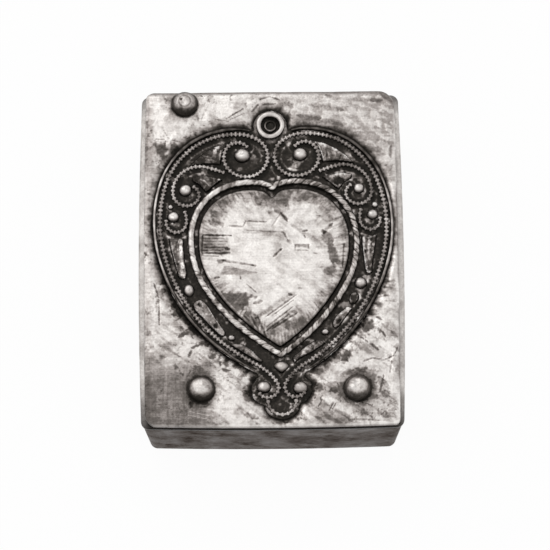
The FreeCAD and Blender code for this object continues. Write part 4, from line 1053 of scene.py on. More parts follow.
hangingRing = {"radius": 2.68, "wire": 0.62, "below": 0.52, "points": 96, "flank": 0.73, "crown": 0.53}
ringAngles = np.linspace(0, 2 * math.pi, hangingRing["points"], endpoint=False)
ringHeight = ringHigh[2] - hangingRing["below"]
ringRadii = hangingRing["radius"] + 0.05 * np.sin(3 * ringAngles + 1)  # no longer quite round
ringLine = np.column_stack([
    ringCentre[0] + ringRadii * np.cos(ringAngles), ringCentre[1] + ringRadii * np.sin(ringAngles),
    np.full(hangingRing["points"], ringHeight)])
vertices, faces = sweep(ringLine, hangingRing["wire"] * (1 + 0.06 * np.sin(5 * ringAngles)), 16, True, 0.9)
up = (vertices[:, 2] - ringHeight) / 0.5
outward = (np.hypot(*(vertices[:, :2] - ringCentre).T) - hangingRing["radius"]) / hangingRing["wire"]
# painted shade with oxide: bright on top of the wire, darker down its sides and on its inner and outer flanks
ringTone = hangingRing["flank"] - hangingRing["crown"] * smooth(-0.1, 0.85, up)
ringTone += 0.08 * clouds(vertices[:, :2], 1.5, 67, 3)
ringTone += 0.18 * smooth(-0.3, -0.85, outward) + 0.12 * smooth(0.45, 0.95, outward)
ring = makePiece("hangingRing", vertices, faces, ringTone)
ring.data.materials.append(beadSilver)
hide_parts("suspension_ring")

eyelet = {"outer": 1.2, "wire": 0.30, "black": 0.92, "glint": 0.46, "top": boxOf("ring_eyelet")[1][2]}
eyeletHeight = eyelet["top"] - eyelet["wire"]
eyeletAngles = ringAngles[::2]
eyeletLine = np.column_stack([
    ringCentre[0] + eyelet["outer"] * np.cos(eyeletAngles),
    ringCentre[1] + eyelet["outer"] * np.sin(eyeletAngles),
    np.full(len(eyeletAngles), eyeletHeight)])
vertices, faces = sweep(eyeletLine, eyelet["wire"], 10, True)
across, along = (vertices[:, :2] - ringCentre).T
glint = smooth(0.3, 1.0, (vertices[:, 2] - eyeletHeight) / eyelet["wire"])
glint *= smooth(1.4, -0.8, along + 0.5 * across)
ringEyelet = makePiece("ringEyelet", vertices, faces, eyelet["black"] - eyelet["glint"] * glint)
ringEyelet.data.materials.append(oxide)
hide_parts("ring_eyelet")
for piece in (ring, ringEyelet):
    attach(piece, "lid")
print("ridges and hanging ring ready")


# Small domes: scroll beads, dots and the drop above the foot

def domeToneAndShade(out, low):  # bright at the crown; painted shade greyer down the sides and darker to the front, with black oxide at the edge
    sides = 0.24 * smooth(0.35, 0.85, out) + 0.38 * smooth(0.85, 1.0, out)
    return 0.14 + sides + 0.28 * smooth(0.2, 0.9, low) * out


scrollBeads = [  # half, x and y on the drawing, and the radii across and along
    (1, 6.45, 24.45, 1.5, 1.5), (-1, 6.45, 24.45, 1.65, 1.6), (1, 19.5, 16.0, 1.15, 1.15),
    (-1, 19.5, 16.0, 1.35, 1.35), (1, 22.4, 9.65, 1.2, 1.15), (-1, 22.4, 9.65, 1.25, 1.25),
    (1, 23.0, 12.0, 0.7, 0.7), (-1, 23.0, 12.0, 0.6, 0.6), (1, 18.95, -6.7, 1.3, 1.3),
    (-1, 19.35, -7.5, 1.1, 1.45), (1, 10.3, -18.0, 0.85, 0.75), (-1, 10.5, -18.9, 0.8, 0.7),
    (1, 4.15, -31.0, 1.5, 1.45), (-1, 3.95, -30.6, 1.45, 1.35)]
beadCast = {"across": 1.18, "along": 1.12, "sunk": 0.2, "power": 2.0, "rings": 12, "sides": 26, "bumps": 0.16}
tallest = boxOf("scroll_beads")[1][2] - groundTop
parts = []
for number, (side, x, y, across, along) in enumerate(scrollBeads):
    centre = onLid((x, y), side)[0]
    tall = min(tallest, 0.75 * across + 0.25) + 0.15
    shape, faces, out = dome(
        centre, (across * beadCast["across"], along * beadCast["along"]), groundTop - beadCast["sunk"],
        tall, dict(beadCast, bumps=beadCast["bumps"] * across), number)
    rub = clouds(shape[:, :2], 0.9, 71 + number, 2)
    low = (centre[1] - shape[:, 1]) / along
    dull = 0.08 * smooth(2, -8, y)  # greyer towards the front
    parts.append((shape, faces, domeToneAndShade(out, low) + 0.10 * rub + dull))
vertices, faces, tone = joined(parts)
beads = makePiece("scrollBeads", vertices, faces, tone)
beads.data.materials.append(beadSilver)
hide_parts("scroll_beads")

dropCast = {
    "shift": (0.1, 0.5), "radii": (1.8, 1.45), "power": 2.2, "rings": 12, "sides": 30, "bumps": 0.15,
    "narrowing": 0.6, "dull": 0.12}
dropLow, dropHigh = boxOf("foot_drop")
dropCentre = leaned((dropLow + dropHigh)[:2] / 2 + dropCast["shift"])[0]
shape, faces, out = dome(
    dropCentre, dropCast["radii"], groundTop - beadCast["sunk"], dropHigh[2] - groundTop + 0.25,
    dropCast, 5)
low = np.clip((dropCentre[1] - shape[:, 1]) / dropCast["radii"][1], 0, 1)
shape[:, 0] -= (shape[:, 0] - dropCentre[0]) * dropCast["narrowing"] * low  # narrows towards the foot
footDrop = makePiece("footDrop", shape, faces, domeToneAndShade(out, low) + dropCast["dull"])
footDrop.data.materials.append(beadSilver)
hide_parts("foot_drop")
for piece in (beads, footDrop):
    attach(piece, "lid")
print("scroll beads ready")


# Bars and leaves between the scrolls: a raised rim round a pitted floor

def fillerFace(top, seed, look):
    def face(points, depth):
        lumps = clouds(points, 0.8, seed, 4)
        slow = clouds(points, 2.5, seed + 1, 2)
        rim = np.exp(-((depth - look["rimPlace"]) / look["rimWidth"]) ** 2)
        pits = look["pits"] * smooth(0.32, 0.62, clouds(points, 1.3, seed + 2, 2)) * smooth(0.3, 0.7, depth)
        height = top - 0.28 + 0.22 * rim + 0.05 * lumps - 0.4 * pits
        height -= 0.25 * (1 - smooth(0, 0.22, depth))
        tone = look["floor"] - 0.20 * smooth(0.0, 0.6, lumps) + pits + 0.12 * slow
        tone += look["edge"] * (1 - smooth(0.02, 0.2, depth))
        stain(points, height, tone, look.get("stains", []))
        cutMarks(points, height, tone, look["marks"])
        return height, tone
    return face


fillers = {  # the raised rim's place in from the edge and its width; how dark the edge and the pits are
    "filler_bars": {"edge": 0.5, "rimPlace": 0.28, "rimWidth": 0.2, "seed": 81, "pits": 0.3},
    "leaf_fillers": {"edge": 0.25, "rimPlace": 0.3, "rimWidth": 0.25, "seed": 91, "pits": 0.1}}
upperLeaf = [
    (8.8, 27.5), (11.0, 27.3), (13.5, 26.4), (16.0, 24.9), (18.2, 23.0), (19.2, 22.0), (17.4, 22.2),
    (15.2, 22.5), (12.6, 22.4), (11.8, 22.2), (11.6, 23.2), (11.3, 24.6), (10.8, 25.9), (10.0, 26.8)]
lowerLeaf = [
    (11.4, 18.9), (13.2, 19.3), (15.8, 19.9), (18.6, 19.4), (18.4, 18.4), (17.0, 17.6), (16.2, 16.6),
    (15.4, 15.6), (14.4, 16.4), (13.2, 17.5)]
drawnFillers = {  # on the lid: outline, tone of its floor, stains, and strokes that are raised and rubbed
    "leaf_fillers_right": [
        {"outline": upperLeaf, "floor": 0.67, "stains": [
            (14.2, 24.2, 2.0, 1.0, -30, -0.05, -0.09)], "marks": [
            (9.0, 27.2, 12.6, 26.4, 0.7, -0.14, -0.34), (11.6, 26.7, 15.2, 25.0, 0.75, -0.14, -0.34),
            (14.0, 25.7, 17.4, 23.4, 0.7, -0.14, -0.33), (16.4, 24.2, 19.0, 22.2, 0.65, -0.12, -0.30),
            (10.3, 26.9, 11.6, 24.8, 0.85, -0.14, -0.38), (11.1, 25.6, 12.1, 22.6, 0.85, -0.14, -0.38),
            (13.0, 25.2, 13.5, 23.2, 0.35, -0.06, -0.20), (14.9, 24.4, 14.6, 23.0, 0.35, -0.06, -0.18),
            (12.9, 24.6, 12.7, 23.0, 0.4, 0.12, 0.25), (16.0, 24.0, 15.7, 22.9, 0.4, 0.08, 0.18)]},
        {"outline": lowerLeaf, "floor": 0.70, "stains": [(15.6, 17.7, 1.3, 1.0, 0, 0.35, 0.40)], "marks": [
            (13.4, 18.7, 14.9, 19.2, 0.8, -0.14, -0.50), (14.7, 19.2, 16.8, 19.4, 0.85, -0.16, -0.55),
            (16.6, 19.4, 18.5, 19.0, 0.7, -0.14, -0.45), (11.6, 18.7, 13.4, 17.5, 0.4, -0.10, -0.25),
            (13.2, 17.6, 15.2, 15.9, 0.4, -0.10, -0.28), (16.9, 17.5, 18.5, 18.2, 0.4, -0.10, -0.32)]}],
    "leaf_fillers_left": [
        {"outline": upperLeaf, "floor": 0.76, "stains": [
            (-12.2, 26.2, 0.8, 1.0, 20, -0.12, -0.40), (-12.6, 25.0, 0.6, 0.6, 0, -0.08, -0.30)], "marks": [
            (-11.3, 25.2, -11.6, 22.9, 0.5, -0.14, -0.50), (-13.0, 22.9, -14.8, 23.2, 0.4, -0.10, -0.36),
            (-13.4, 23.6, -15.4, 24.0, 0.35, -0.08, -0.28), (-17.0, 23.6, -15.8, 24.6, 0.35, -0.08, -0.30),
            (-14.4, 25.6, -13.2, 24.6, 0.4, -0.06, -0.24), (-10.0, 26.8, -12.0, 26.8, 0.4, -0.08, -0.24)]},
        {"outline": lowerLeaf, "floor": 0.74, "stains": [(-11.6, 18.3, 0.6, 0.5, 0, -0.16, -0.45)], "marks": [
            (-17.1, 19.2, -16.0, 19.2, 0.45, -0.12, -0.45), (-16.0, 18.4, -15.0, 18.0, 0.45, -0.12, -0.50),
            (-15.1, 18.1, -14.0, 16.9, 0.45, -0.12, -0.50), (-13.6, 18.8, -12.4, 18.4, 0.5, -0.10, -0.26),
            (-14.6, 17.0, -15.2, 15.9, 0.35, -0.08, -0.30)]}],
    "filler_bars_right": [
        {"outline": [
            (20.3, 4.6), (22.2, 4.2), (23.9, 5.0), (23.7, 3.2), (23.3, 0.8), (22.9, -1.8), (22.7, -4.3),
            (21.5, -4.7), (21.0, -3.4), (20.7, -1.0), (20.4, 2.0)],
         "floor": 0.72, "edge": 0.2, "stains": [
             (23.0, 2.4, 0.4, 0.5, 0, -0.14, -0.42), (22.9, 0.6, 0.4, 0.4, 0, -0.12, -0.34),
             (22.3, -2.6, 0.3, 0.6, 0, -0.08, -0.2)], "marks": [
             (20.9, 4.4, 20.8, 0.6, 0.75, -0.16, -0.60), (20.8, 1.6, 21.2, -2.2, 0.75, -0.16, -0.62),
             (21.1, -1.2, 21.5, -4.1, 0.85, -0.16, -0.62), (21.3, -3.8, 22.7, -4.2, 0.8, -0.14, -0.55),
             (21.0, 4.4, 22.6, 4.3, 0.75, -0.16, -0.58), (22.1, 4.3, 23.8, 4.9, 0.7, -0.16, -0.55),
             (22.1, 3.6, 22.0, 1.2, 1.0, -0.16, -0.60), (22.0, 1.0, 22.1, -1.2, 0.8, -0.12, -0.46)]},
        {"outline": [
            (17.6, -9.2), (18.6, -8.7), (19.6, -9.1), (19.7, -10.3), (18.7, -11.6), (17.4, -11.5),
            (17.2, -10.2)],
         "floor": 0.80, "edge": 0.1, "marks": [
             (17.9, -9.3, 19.0, -9.1, 0.7, -0.14, -0.46), (17.7, -10.0, 17.7, -11.0, 0.5, -0.10, -0.36),
             (19.3, -9.6, 18.9, -11.0, 0.5, -0.10, -0.34)]},
        {"outline": [
            (18.2, -12.5), (17.0, -12.0), (15.8, -13.0), (14.5, -14.0), (13.7, -15.3), (13.4, -16.5),
            (14.0, -17.3), (15.0, -16.9), (15.9, -15.7), (16.7, -14.5), (17.5, -13.5)],
         "floor": 0.68, "edge": 0.1, "stains": [(15.0, -15.6, 0.4, 0.9, -40, 0.2, 0.16)], "marks": [
             (16.6, -12.6, 17.8, -12.7, 0.75, -0.16, -0.52), (17.2, -12.6, 15.4, -14.0, 0.7, -0.16, -0.46),
             (15.6, -13.8, 14.2, -15.2, 0.6, -0.14, -0.38), (14.2, -15.0, 13.9, -16.6, 0.65, -0.14, -0.38),
             (14.2, -16.8, 16.4, -14.6, 0.4, -0.10, -0.26), (16.0, -14.6, 15.6, -15.2, 0.4, -0.10, -0.22)]},
        {"outline": [
            (12.1, -20.6), (10.7, -19.8), (9.5, -20.0), (8.2, -20.8), (6.9, -21.8), (5.6, -22.9),
            (4.4, -24.0), (4.9, -25.5), (6.2, -24.2), (7.5, -23.5), (8.8, -22.9), (10.0, -22.1),
            (11.2, -21.3)],
         "floor": 0.64, "edge": 0.1, "marks": [
             (9.4, -20.8, 7.0, -22.6, 1.2, -0.16, -0.30), (10.6, -20.6, 8.8, -21.8, 0.6, -0.14, -0.28),
             (10.9, -20.2, 11.5, -20.5, 0.45, -0.12, -0.34), (4.9, -24.4, 5.2, -25.0, 0.5, -0.12, -0.28),
             (7.4, -22.6, 6.6, -23.4, 0.6, -0.12, -0.26)]}],
    "filler_bars_left": [
        {"outline": [
            (-19.8, 4.4), (-21.4, 4.0), (-23.2, 4.4), (-22.8, 2.0), (-22.3, 0.0), (-21.6, -2.5),
            (-20.8, -5.2), (-19.3, -5.6), (-18.9, -4.2), (-19.3, -1.8), (-19.6, 1.0)],
         "floor": 0.68, "edge": 0.2, "marks": [
             (-20.5, 4.1, -20.5, 0.4, 1.3, -0.16, -0.44), (-20.5, 1.6, -19.9, -2.8, 1.4, -0.16, -0.52),
             (-20.1, -1.6, -19.5, -5.3, 1.3, -0.16, -0.52), (-22.5, 3.4, -22.0, 0.2, 0.4, -0.14, -0.42),
             (-22.0, 0.4, -21.1, -3.6, 0.4, -0.14, -0.42), (-20.9, 3.2, -20.7, 0.2, 0.25, 0.10, 0.25),
             (-20.0, 2.6, -19.9, -0.8, 0.25, 0.10, 0.22), (-20.2, -1.2, -19.7, -3.8, 0.25, 0.10, 0.25)]},
        {"outline": [
            (-17.8, -11.2), (-17.0, -10.4), (-15.8, -10.2), (-14.8, -10.9), (-14.1, -12.0), (-13.2, -13.6),
            (-12.1, -15.3), (-11.1, -16.8), (-10.3, -17.9), (-10.4, -18.8), (-11.1, -19.1), (-12.1, -18.4),
            (-13.5, -17.0), (-14.9, -15.4), (-16.3, -13.9), (-17.4, -12.6)],
         "floor": 0.50, "edge": 0.2, "stains": [
             (-16.1, -11.6, 0.8, 0.4, -35, 0.2, 0.30), (-15.4, -12.6, 0.4, 0.6, 20, 0.1, 0.16),
             (-12.6, -16.5, 0.5, 0.4, -30, 0.3, 0.34), (-15.4, -14.0, 0.6, 0.9, 35, -0.05, -0.12)], "marks": [
             (-17.2, -11.4, -16.4, -10.8, 0.6, -0.12, -0.22),
             (-16.0, -10.7, -14.9, -11.6, 0.5, -0.12, -0.20),
             (-14.6, -12.0, -11.0, -17.6, 0.6, -0.12, -0.16),
             (-17.1, -12.2, -14.2, -15.4, 0.55, -0.12, -0.16),
             (-14.2, -15.6, -11.4, -18.4, 0.5, -0.12, -0.16),
             (-11.9, -17.3, -10.9, -18.4, 0.8, -0.10, -0.14)]},
        {"outline": [
            (-9.5, -20.8), (-8.0, -20.5), (-6.4, -20.8), (-5.1, -21.6), (-3.9, -22.8), (-2.9, -23.8),
            (-1.8, -24.6), (-2.6, -25.2), (-3.9, -24.5), (-5.5, -23.5), (-7.1, -22.4), (-8.5, -21.6)],
         "floor": 0.60, "edge": 0.2, "stains": [(-6.5, -22.2, 0.4, 0.3, 0, 0.2, 0.20)], "marks": [
             (-8.6, -21.0, -6.8, -21.3, 0.5, -0.12, -0.12), (-5.8, -22.0, -3.6, -23.8, 1.0, -0.14, -0.20),
             (-5.2, -21.9, -3.6, -23.3, 0.4, -0.12, -0.16), (-3.4, -24.2, -2.4, -24.8, 0.6, -0.10, -0.18)]}]}

for stem, look in fillers.items():
    for half in ("left", "right"):
        node = f"{stem}_{half}"
        low, high = boxOf(node)
        parts = []
        for number, drawn in enumerate(drawnFillers[node]):
            outline = np.array(drawn["outline"])
            if node == "leaf_fillers_left":  # the leaves' outlines are drawn for the right half
                outline = onLid(offLid(outline) * (-1, 1))
            outline = evenly(ccw(outline), 0.18)
            for _ in range(4):  # the corners are cast round
                outline = (np.roll(outline, 1, axis=0) + 2 * outline + np.roll(outline, -1, axis=0)) / 4
            seed = look["seed"] + number + (20 if half == "left" else 0)
            face = fillerFace(high[2] + 0.12, seed, {**look, **drawn})
            parts.append(reliefPlate(outline, face, low[2], 0.16, (0.09,), underTone=0.95))
        filler = makePiece(camelCase(node), *joined(parts))
        filler.data.materials.append(oxide)
        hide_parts(node)
        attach(filler, "lid")
print("fillers ready")


# Stud heads: hammered domes with steep sides, bright on the crown where they are rubbed, with painted shade
# down the sides and to the front

studs = {
    "stud_back_left": {"power": 2.1, "edge": 0.84, "bumps": 0.16, "seed": 3, "most": 0.67},
    "stud_front_left": {"power": 2.3, "edge": 0.84, "bumps": 0.12, "seed": 9, "most": 0.70},
    "stud_front_right": {"power": 2.5, "edge": 0.80, "bumps": 0.24, "seed": 15, "most": 0.57},
}
studHead = {"rings": 40, "sides": 84, "sunk": 0.35}
studOxideAndShade = {
    "crown": 0.15, "patches": 0.14, "shoulderShade": 0.18, "edge": 0.42, "front": 0.36,
    "back": 0.12, "punched": 0.22, "pit": 0.7, "pitDepth": 0.15}
for node, look in studs.items():
    low, high = boxOf(node)
    centre = (low + high)[:2] / 2
    radius = (high - low)[0] / 2
    shape, faces, out = dome(
        centre, (radius, radius), lidTop - studHead["sunk"], high[2] - lidTop + studHead["sunk"],
        {**studHead, **look}, look["seed"])
    spot = shape[:, :2]
    rub = clouds(spot, 1.6, look["seed"], 4)
    lean = (centre[1] - spot[:, 1]) / radius
    tone = studOxideAndShade["crown"] + studOxideAndShade["patches"] * smooth(0.0, 0.6, rub)
    # painted shade: greyer down the sides and darker to the front, where the head turns from the light; the
    # black edge ring is oxide
    tone += studOxideAndShade["shoulderShade"] * smooth(0.45, 0.75, out)
    tone += studOxideAndShade["edge"] * smooth(look["edge"] - 0.10, look["edge"] + 0.14, out)
    tone += studOxideAndShade["front"] * smooth(0.1, 0.75, lean) * smooth(0.2, 0.7, out)
    tone += studOxideAndShade["back"] * smooth(0.3, 0.9, -lean)
    tone = np.minimum(tone, look["most"] + 0.12 * smooth(0.2, 0.8, lean))
    if node == "stud_back_left":  # a punched ring and a pit
        away = np.hypot(spot[:, 0] - centre[0], spot[:, 1] - centre[1] - 0.1)
        tone += studOxideAndShade["punched"] * np.exp(-((away - 1.35) / 0.16) ** 2)
        pit = np.exp(-(np.hypot(spot[:, 0] - centre[0] + 0.8, spot[:, 1] - centre[1] - 0.5) / 0.3) ** 2)
        tone += studOxideAndShade["pit"] * pit
        shape[:, 2] -= studOxideAndShade["pitDepth"] * pit
    stud = makePiece(camelCase(node), shape, faces, tone)
    stud.data.materials.append(studSilver)
    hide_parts(node)
    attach(stud, "lid")
print("studs ready")


# Cast pewter body, filed and gone dull grey, with faint level file lines; its dark grey is partly painted
# shade for the dark surroundings its walls reflect

def castPewter(name, look):
    material, tree, shader, place = startMaterial(name)
    cloud = addNode(tree, "ShaderNodeTexNoise", Vector=place, Scale=perMm(look["cloudSize"]), Detail=4.0)
    flat = addNode(tree, "ShaderNodeMapping", Vector=place, Scale=look["stretch"])
    lines = addNode(
        tree, "ShaderNodeTexNoise", Vector=flat.outputs[0], Scale=perMm(look["lineSize"]), Detail=3.0,
        Roughness=0.65)
    grain = addNode(
        tree, "ShaderNodeTexNoise", Vector=place, Scale=perMm(look["grainSize"]), Detail=2.0)
    mixed = addNode(
        tree, "ShaderNodeMath", {"operation": "ADD"}, _0=lines.outputs["Fac"], _1=cloud.outputs["Fac"])
    mixed = addNode(
        tree, "ShaderNodeMath", {"operation": "MULTIPLY_ADD"},
        _0=grain.outputs["Fac"], _1=0.5, _2=mixed.outputs[0])
    spread = addNode(
        tree, "ShaderNodeMapRange", Value=mixed.outputs[0], From_Min=0.95, From_Max=1.55)
    colour = colourRamp(tree, spread.outputs[0], look["colours"])
    if "shadedFront" in look:  # painted shade under the lid's front edge, and darker along the back
        parts = addNode(tree, "ShaderNodeSeparateXYZ", Vector=place)
        side = addNode(tree, "ShaderNodeMath", {"operation": "ABSOLUTE"}, _0=parts.outputs["X"])
        past = addNode(
            tree, "ShaderNodeMath", {"operation": "SUBTRACT"},
            _0=side.outputs[0], _1=look["cornerStart"] * mm)
        past = addNode(tree, "ShaderNodeMath", {"operation": "MAXIMUM"}, _0=past.outputs[0], _1=0.0)
        shifted = addNode(
            tree, "ShaderNodeMath", {"operation": "MULTIPLY_ADD"},
            _0=past.outputs[0], _1=look["cornerShift"], _2=parts.outputs["Y"])
        front, back = (
            addNode(tree, "ShaderNodeMapRange", Value=source,
                    From_Min=low * mm, From_Max=high * mm, To_Min=least)
            for source, (low, high, least) in (
                (shifted.outputs[0], look["shadedFront"]), (parts.outputs["Y"], look["darkBack"])))
        kept = addNode(
            tree, "ShaderNodeMath", {"operation": "MINIMUM"}, _0=front.outputs[0], _1=back.outputs[0])
        dull = addNode(tree, "ShaderNodeMix", {"data_type": "RGBA"}, _0=kept.outputs[0], _7=colour)
        dull.inputs[6].default_value = linear(look["darkEdgeColour"])
        colour = dull.outputs[2]
    tree.links.new(colour, shader.inputs["Base Color"])
    shader.inputs["Metallic"].default_value = look["metal"]
    tree.links.new(colourRamp(tree, spread.outputs[0], look["grazing"]), shader.inputs["Specular Tint"])
    gloss = addNode(
        tree, "ShaderNodeMapRange", Value=lines.outputs["Fac"],
        To_Min=look["roughness"][0], To_Max=look["roughness"][1])
    tree.links.new(gloss.outputs[0], shader.inputs["Roughness"])
    bump = addNode(
        tree, "ShaderNodeBump", Strength=look["bump"], Distance=look["lineDepth"] * mm,
        Height=mixed.outputs[0])
    tree.links.new(bump.outputs[0], shader.inputs["Normal"])
    return material


whiteGrazing = [(0.0, "#FFFFFF"), (1.0, "#FFFFFF")]  # clean metal shines white edge-on
# dark grey, partly painted shade standing in for the dark surroundings the upright walls reflect
pewterLook = {
    "cloudSize": 6.0, "lineSize": 0.5, "grainSize": 0.35, "stretch": (0.22, 0.22, 0.8),
    "lineDepth": 0.05, "metal": 1.0, "roughness": (0.34, 0.5), "bump": 0.25,
    "grazing": [(0.0, "#A9A39F"), (0.5, "#E0DBD8"), (1.0, "#FFFFFF")],
    "colours": [(0.0, "#2C2827"), (0.35, "#3B3633"), (0.7, "#4B4643"), (1.0, "#5E5856")]}
pewter = castPewter("castPewterBody", pewterLook)
rimLook = {  # handled bright, with painted shade under the lid's front edge and darker along the hinge
    **pewterLook, "lineSize": 0.6, "stretch": (0.4, 0.4, 0.8), "roughness": (0.3, 0.45),
    "grazing": whiteGrazing, "cornerStart": 27.2, "cornerShift": 0.8,
    "shadedFront": (-39.3, -28.0, 0.0), "darkBack": (38.6, 34.6, 0.3), "darkEdgeColour": "#221F1D",
    "colours": [(0.0, "#9A9490"), (0.5, "#BDB8B4"), (1.0, "#DCD8D4")]}
rubbedRim = castPewter("rubbedPewterRim", rimLook)
nickelLook = {  # brushed level, so its lines are long and fine
    **pewterLook, "cloudSize": 7.0, "lineSize": 0.22, "stretch": (0.05, 0.05, 1.0),
    "roughness": (0.24, 0.38), "bump": 0.2, "grazing": whiteGrazing,
    "colours": [(0.0, "#67625C"), (0.5, "#8E8983"), (1.0, "#B4AFA8")]}
nickel = castPewter("brushedNickelHinge", nickelLook)
rivetLook = {  # hammered over, so its marks run no one way
    **pewterLook, "cloudSize": 2.0, "lineSize": 0.35, "stretch": (1.0, 1.0, 1.0),
    "roughness": (0.3, 0.42), "bump": 0.2, "grazing": whiteGrazing,
    "colours": [(0.0, "#3A3734"), (0.5, "#55514D"), (1.0, "#75706B")]}
rivetSteel = castPewter("peenedSteelRivets", rivetLook)
finishes = {
    "body_wall": pewter, "base_plate": pewter, "rim_frame": rubbedRim, "locating_frame": nickel,
    "body_hinge_leaf": nickel, "lid_hinge_leaf": nickel, "hinge_pin": rivetSteel,
    "body_hinge_rivets": rivetSteel, "lid_hinge_rivets": rivetSteel}
for node, finish in finishes.items():
    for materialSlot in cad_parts[node].material_slots:
        materialSlot.material = finish
print("metal body and hinge finished")


# Velvet lining on card: a short dense pile that pales and darkens in patches where it is brushed

def pileCloth(name, look):
    material, tree, shader, place = startMaterial(name)
    brushed = addNode(
        tree, "ShaderNodeTexNoise", Vector=place, Scale=perMm(look["brushSize"]), Detail=3.0, Distortion=0.6)
    tuft = addNode(tree, "ShaderNodeTexNoise", Vector=place, Scale=perMm(look["tuftSize"]), Detail=2.0)
    mixed = addNode(
        tree, "ShaderNodeMath", {"operation": "MULTIPLY_ADD"},
        _0=tuft.outputs["Fac"], _1=look["tuftShare"], _2=brushed.outputs["Fac"])
    spread = addNode(
        tree, "ShaderNodeMapRange", Value=mixed.outputs[0],
        From_Min=0.3 + 0.5 * look["tuftShare"] - 0.1, From_Max=0.7 + 0.5 * look["tuftShare"])
    tree.links.new(colourRamp(tree, spread.outputs[0], look["colours"]), shader.inputs["Base Color"])
    shader.inputs["Roughness"].default_value = look["roughness"]
    shader.inputs["Sheen Weight"].default_value = look["sheen"]
    shader.inputs["Sheen Roughness"].default_value = look["sheenRoughness"]
    shader.inputs["Sheen Tint"].default_value = linear(look["sheenColour"])
    bump = addNode(
        tree, "ShaderNodeBump", Strength=look["bump"], Distance=look["pileDepth"] * mm,
        Height=mixed.outputs[0])
    tree.links.new(bump.outputs[0], shader.inputs["Normal"])
    return material


velvetLook = {
    "brushSize": 9.0, "tuftSize": 0.45, "tuftShare": 0.5, "pileDepth": 0.12, "bump": 0.6,
    "roughness": 0.9, "sheen": 0.5, "sheenRoughness": 0.35, "sheenColour": "#C98A96",
    "colours": [(0.0, "#2E0A13"), (0.5, "#4E1422"), (1.0, "#6E2233")]}
velvet = pileCloth("cottonVelvetLining", velvetLook)
feltLook = {  # pressed wool has no pile to brush, so it is flat and matt, with coarse tufts
    **velvetLook, "brushSize": 6.0, "tuftSize": 0.6, "tuftShare": 0.9, "sheen": 0.2,
    "sheenColour": "#8A8A8A", "colours": [(0.0, "#151515"), (0.5, "#222222"), (1.0, "#323131")]}
felt = pileCloth("woolFeltBase", feltLook)


def roundedBox(low, high, corner, step, waist=0.0):  # an outline in plan; waist pulls the sides in
    points = []
    for cx, cy, first in (
            (high[0] - corner, low[1] + corner, -90), (high[0] - corner, high[1] - corner, 0),
            (low[0] + corner, high[1] - corner, 90), (low[0] + corner, low[1] + corner, 180)):
        for angle in np.radians(np.linspace(first, first + 90, 10)):
            points.append((cx + corner * math.cos(angle), cy + corner * math.sin(angle)))
    line = evenly(np.array(points), step)
    middle, half = (low[:2] + high[:2]) / 2, (high[:2] - low[:2]) / 2
    share = (line - middle) / half
    line[:, 0] -= waist * np.sign(share[:, 0]) * (np.abs(share[:, 0]) > 0.8) * (1 - share[:, 1] ** 2)
    line[:, 1] -= waist * np.sign(share[:, 1]) * (np.abs(share[:, 1]) > 0.8) * (1 - share[:, 0] ** 2)
    return line


def swollen(vertices, faces, look):  # the pad's cover, blown up by cloth simulation
    middle = vertices.mean(0)
    mesh = bpy.data.meshes.new("coverShape")
    mesh.from_pydata(((vertices - middle) * mm * look["grow"]).tolist(), [], faces)
    cover = bpy.data.objects.new("coverShape", mesh)
    scene.collection.objects.link(cover)
    remesh = cover.modifiers.new("remesh", "REMESH")
    remesh.mode = "VOXEL"
    remesh.voxel_size = look["voxel"] * mm
    cover.data = bpy.data.meshes.new_from_object(cover.evaluated_get(bpy.context.evaluated_depsgraph_get()))
    cover.modifiers.clear()
    start = placesOf(cover)
    held = start[:, 2] < start[:, 2].min() + look["voxel"] * 0.6
    glue = cover.vertex_groups.new(name="glued")
    glue.add([int(k) for k in np.nonzero(held)[0]], 1.0, "REPLACE")
    cloth = cover.modifiers.new("cloth", "CLOTH")
    cloth.settings.quality = look["quality"]
    cloth.settings.use_pressure = True
    cloth.settings.uniform_pressure_force = look["pressure"]
    cloth.settings.effector_weights.gravity = 0
    cloth.settings.vertex_group_mass = "glued"
    cloth.point_cache.frame_start, cloth.point_cache.frame_end = 1, look["frames"]
    for step in range(1, look["frames"] + 1):
        scene.frame_set(step)
    made = bpy.data.meshes.new_from_object(cover.evaluated_get(bpy.context.evaluated_depsgraph_get()))
    scene.frame_set(1)
    bpy.data.objects.remove(cover, do_unlink=True)
    flat = np.empty(len(made.vertices) * 3, np.float32)
    made.vertices.foreach_get("co", flat)
    moved = flat.reshape(-1, 3) / mm - start
    far = np.linalg.norm(moved, axis=1)
    moved *= (np.minimum(far, look["cap"]) / np.maximum(far, 1e-9))[:, None]
    return (start + moved) / look["grow"] + middle, [tuple(f.vertices) for f in made.polygons]


padLook = {  # the cloth is simulated grow times full size, because it moves badly when very small
    "corner": 2.4, "waist": 0.15, "edge": 1.1, "spacing": 0.9, "insets": (0.15, 0.4, 0.8),
    "grow": 6, "voxel": 4.5, "quality": 5, "frames": 20, "pressure": 4, "cap": 9.0}


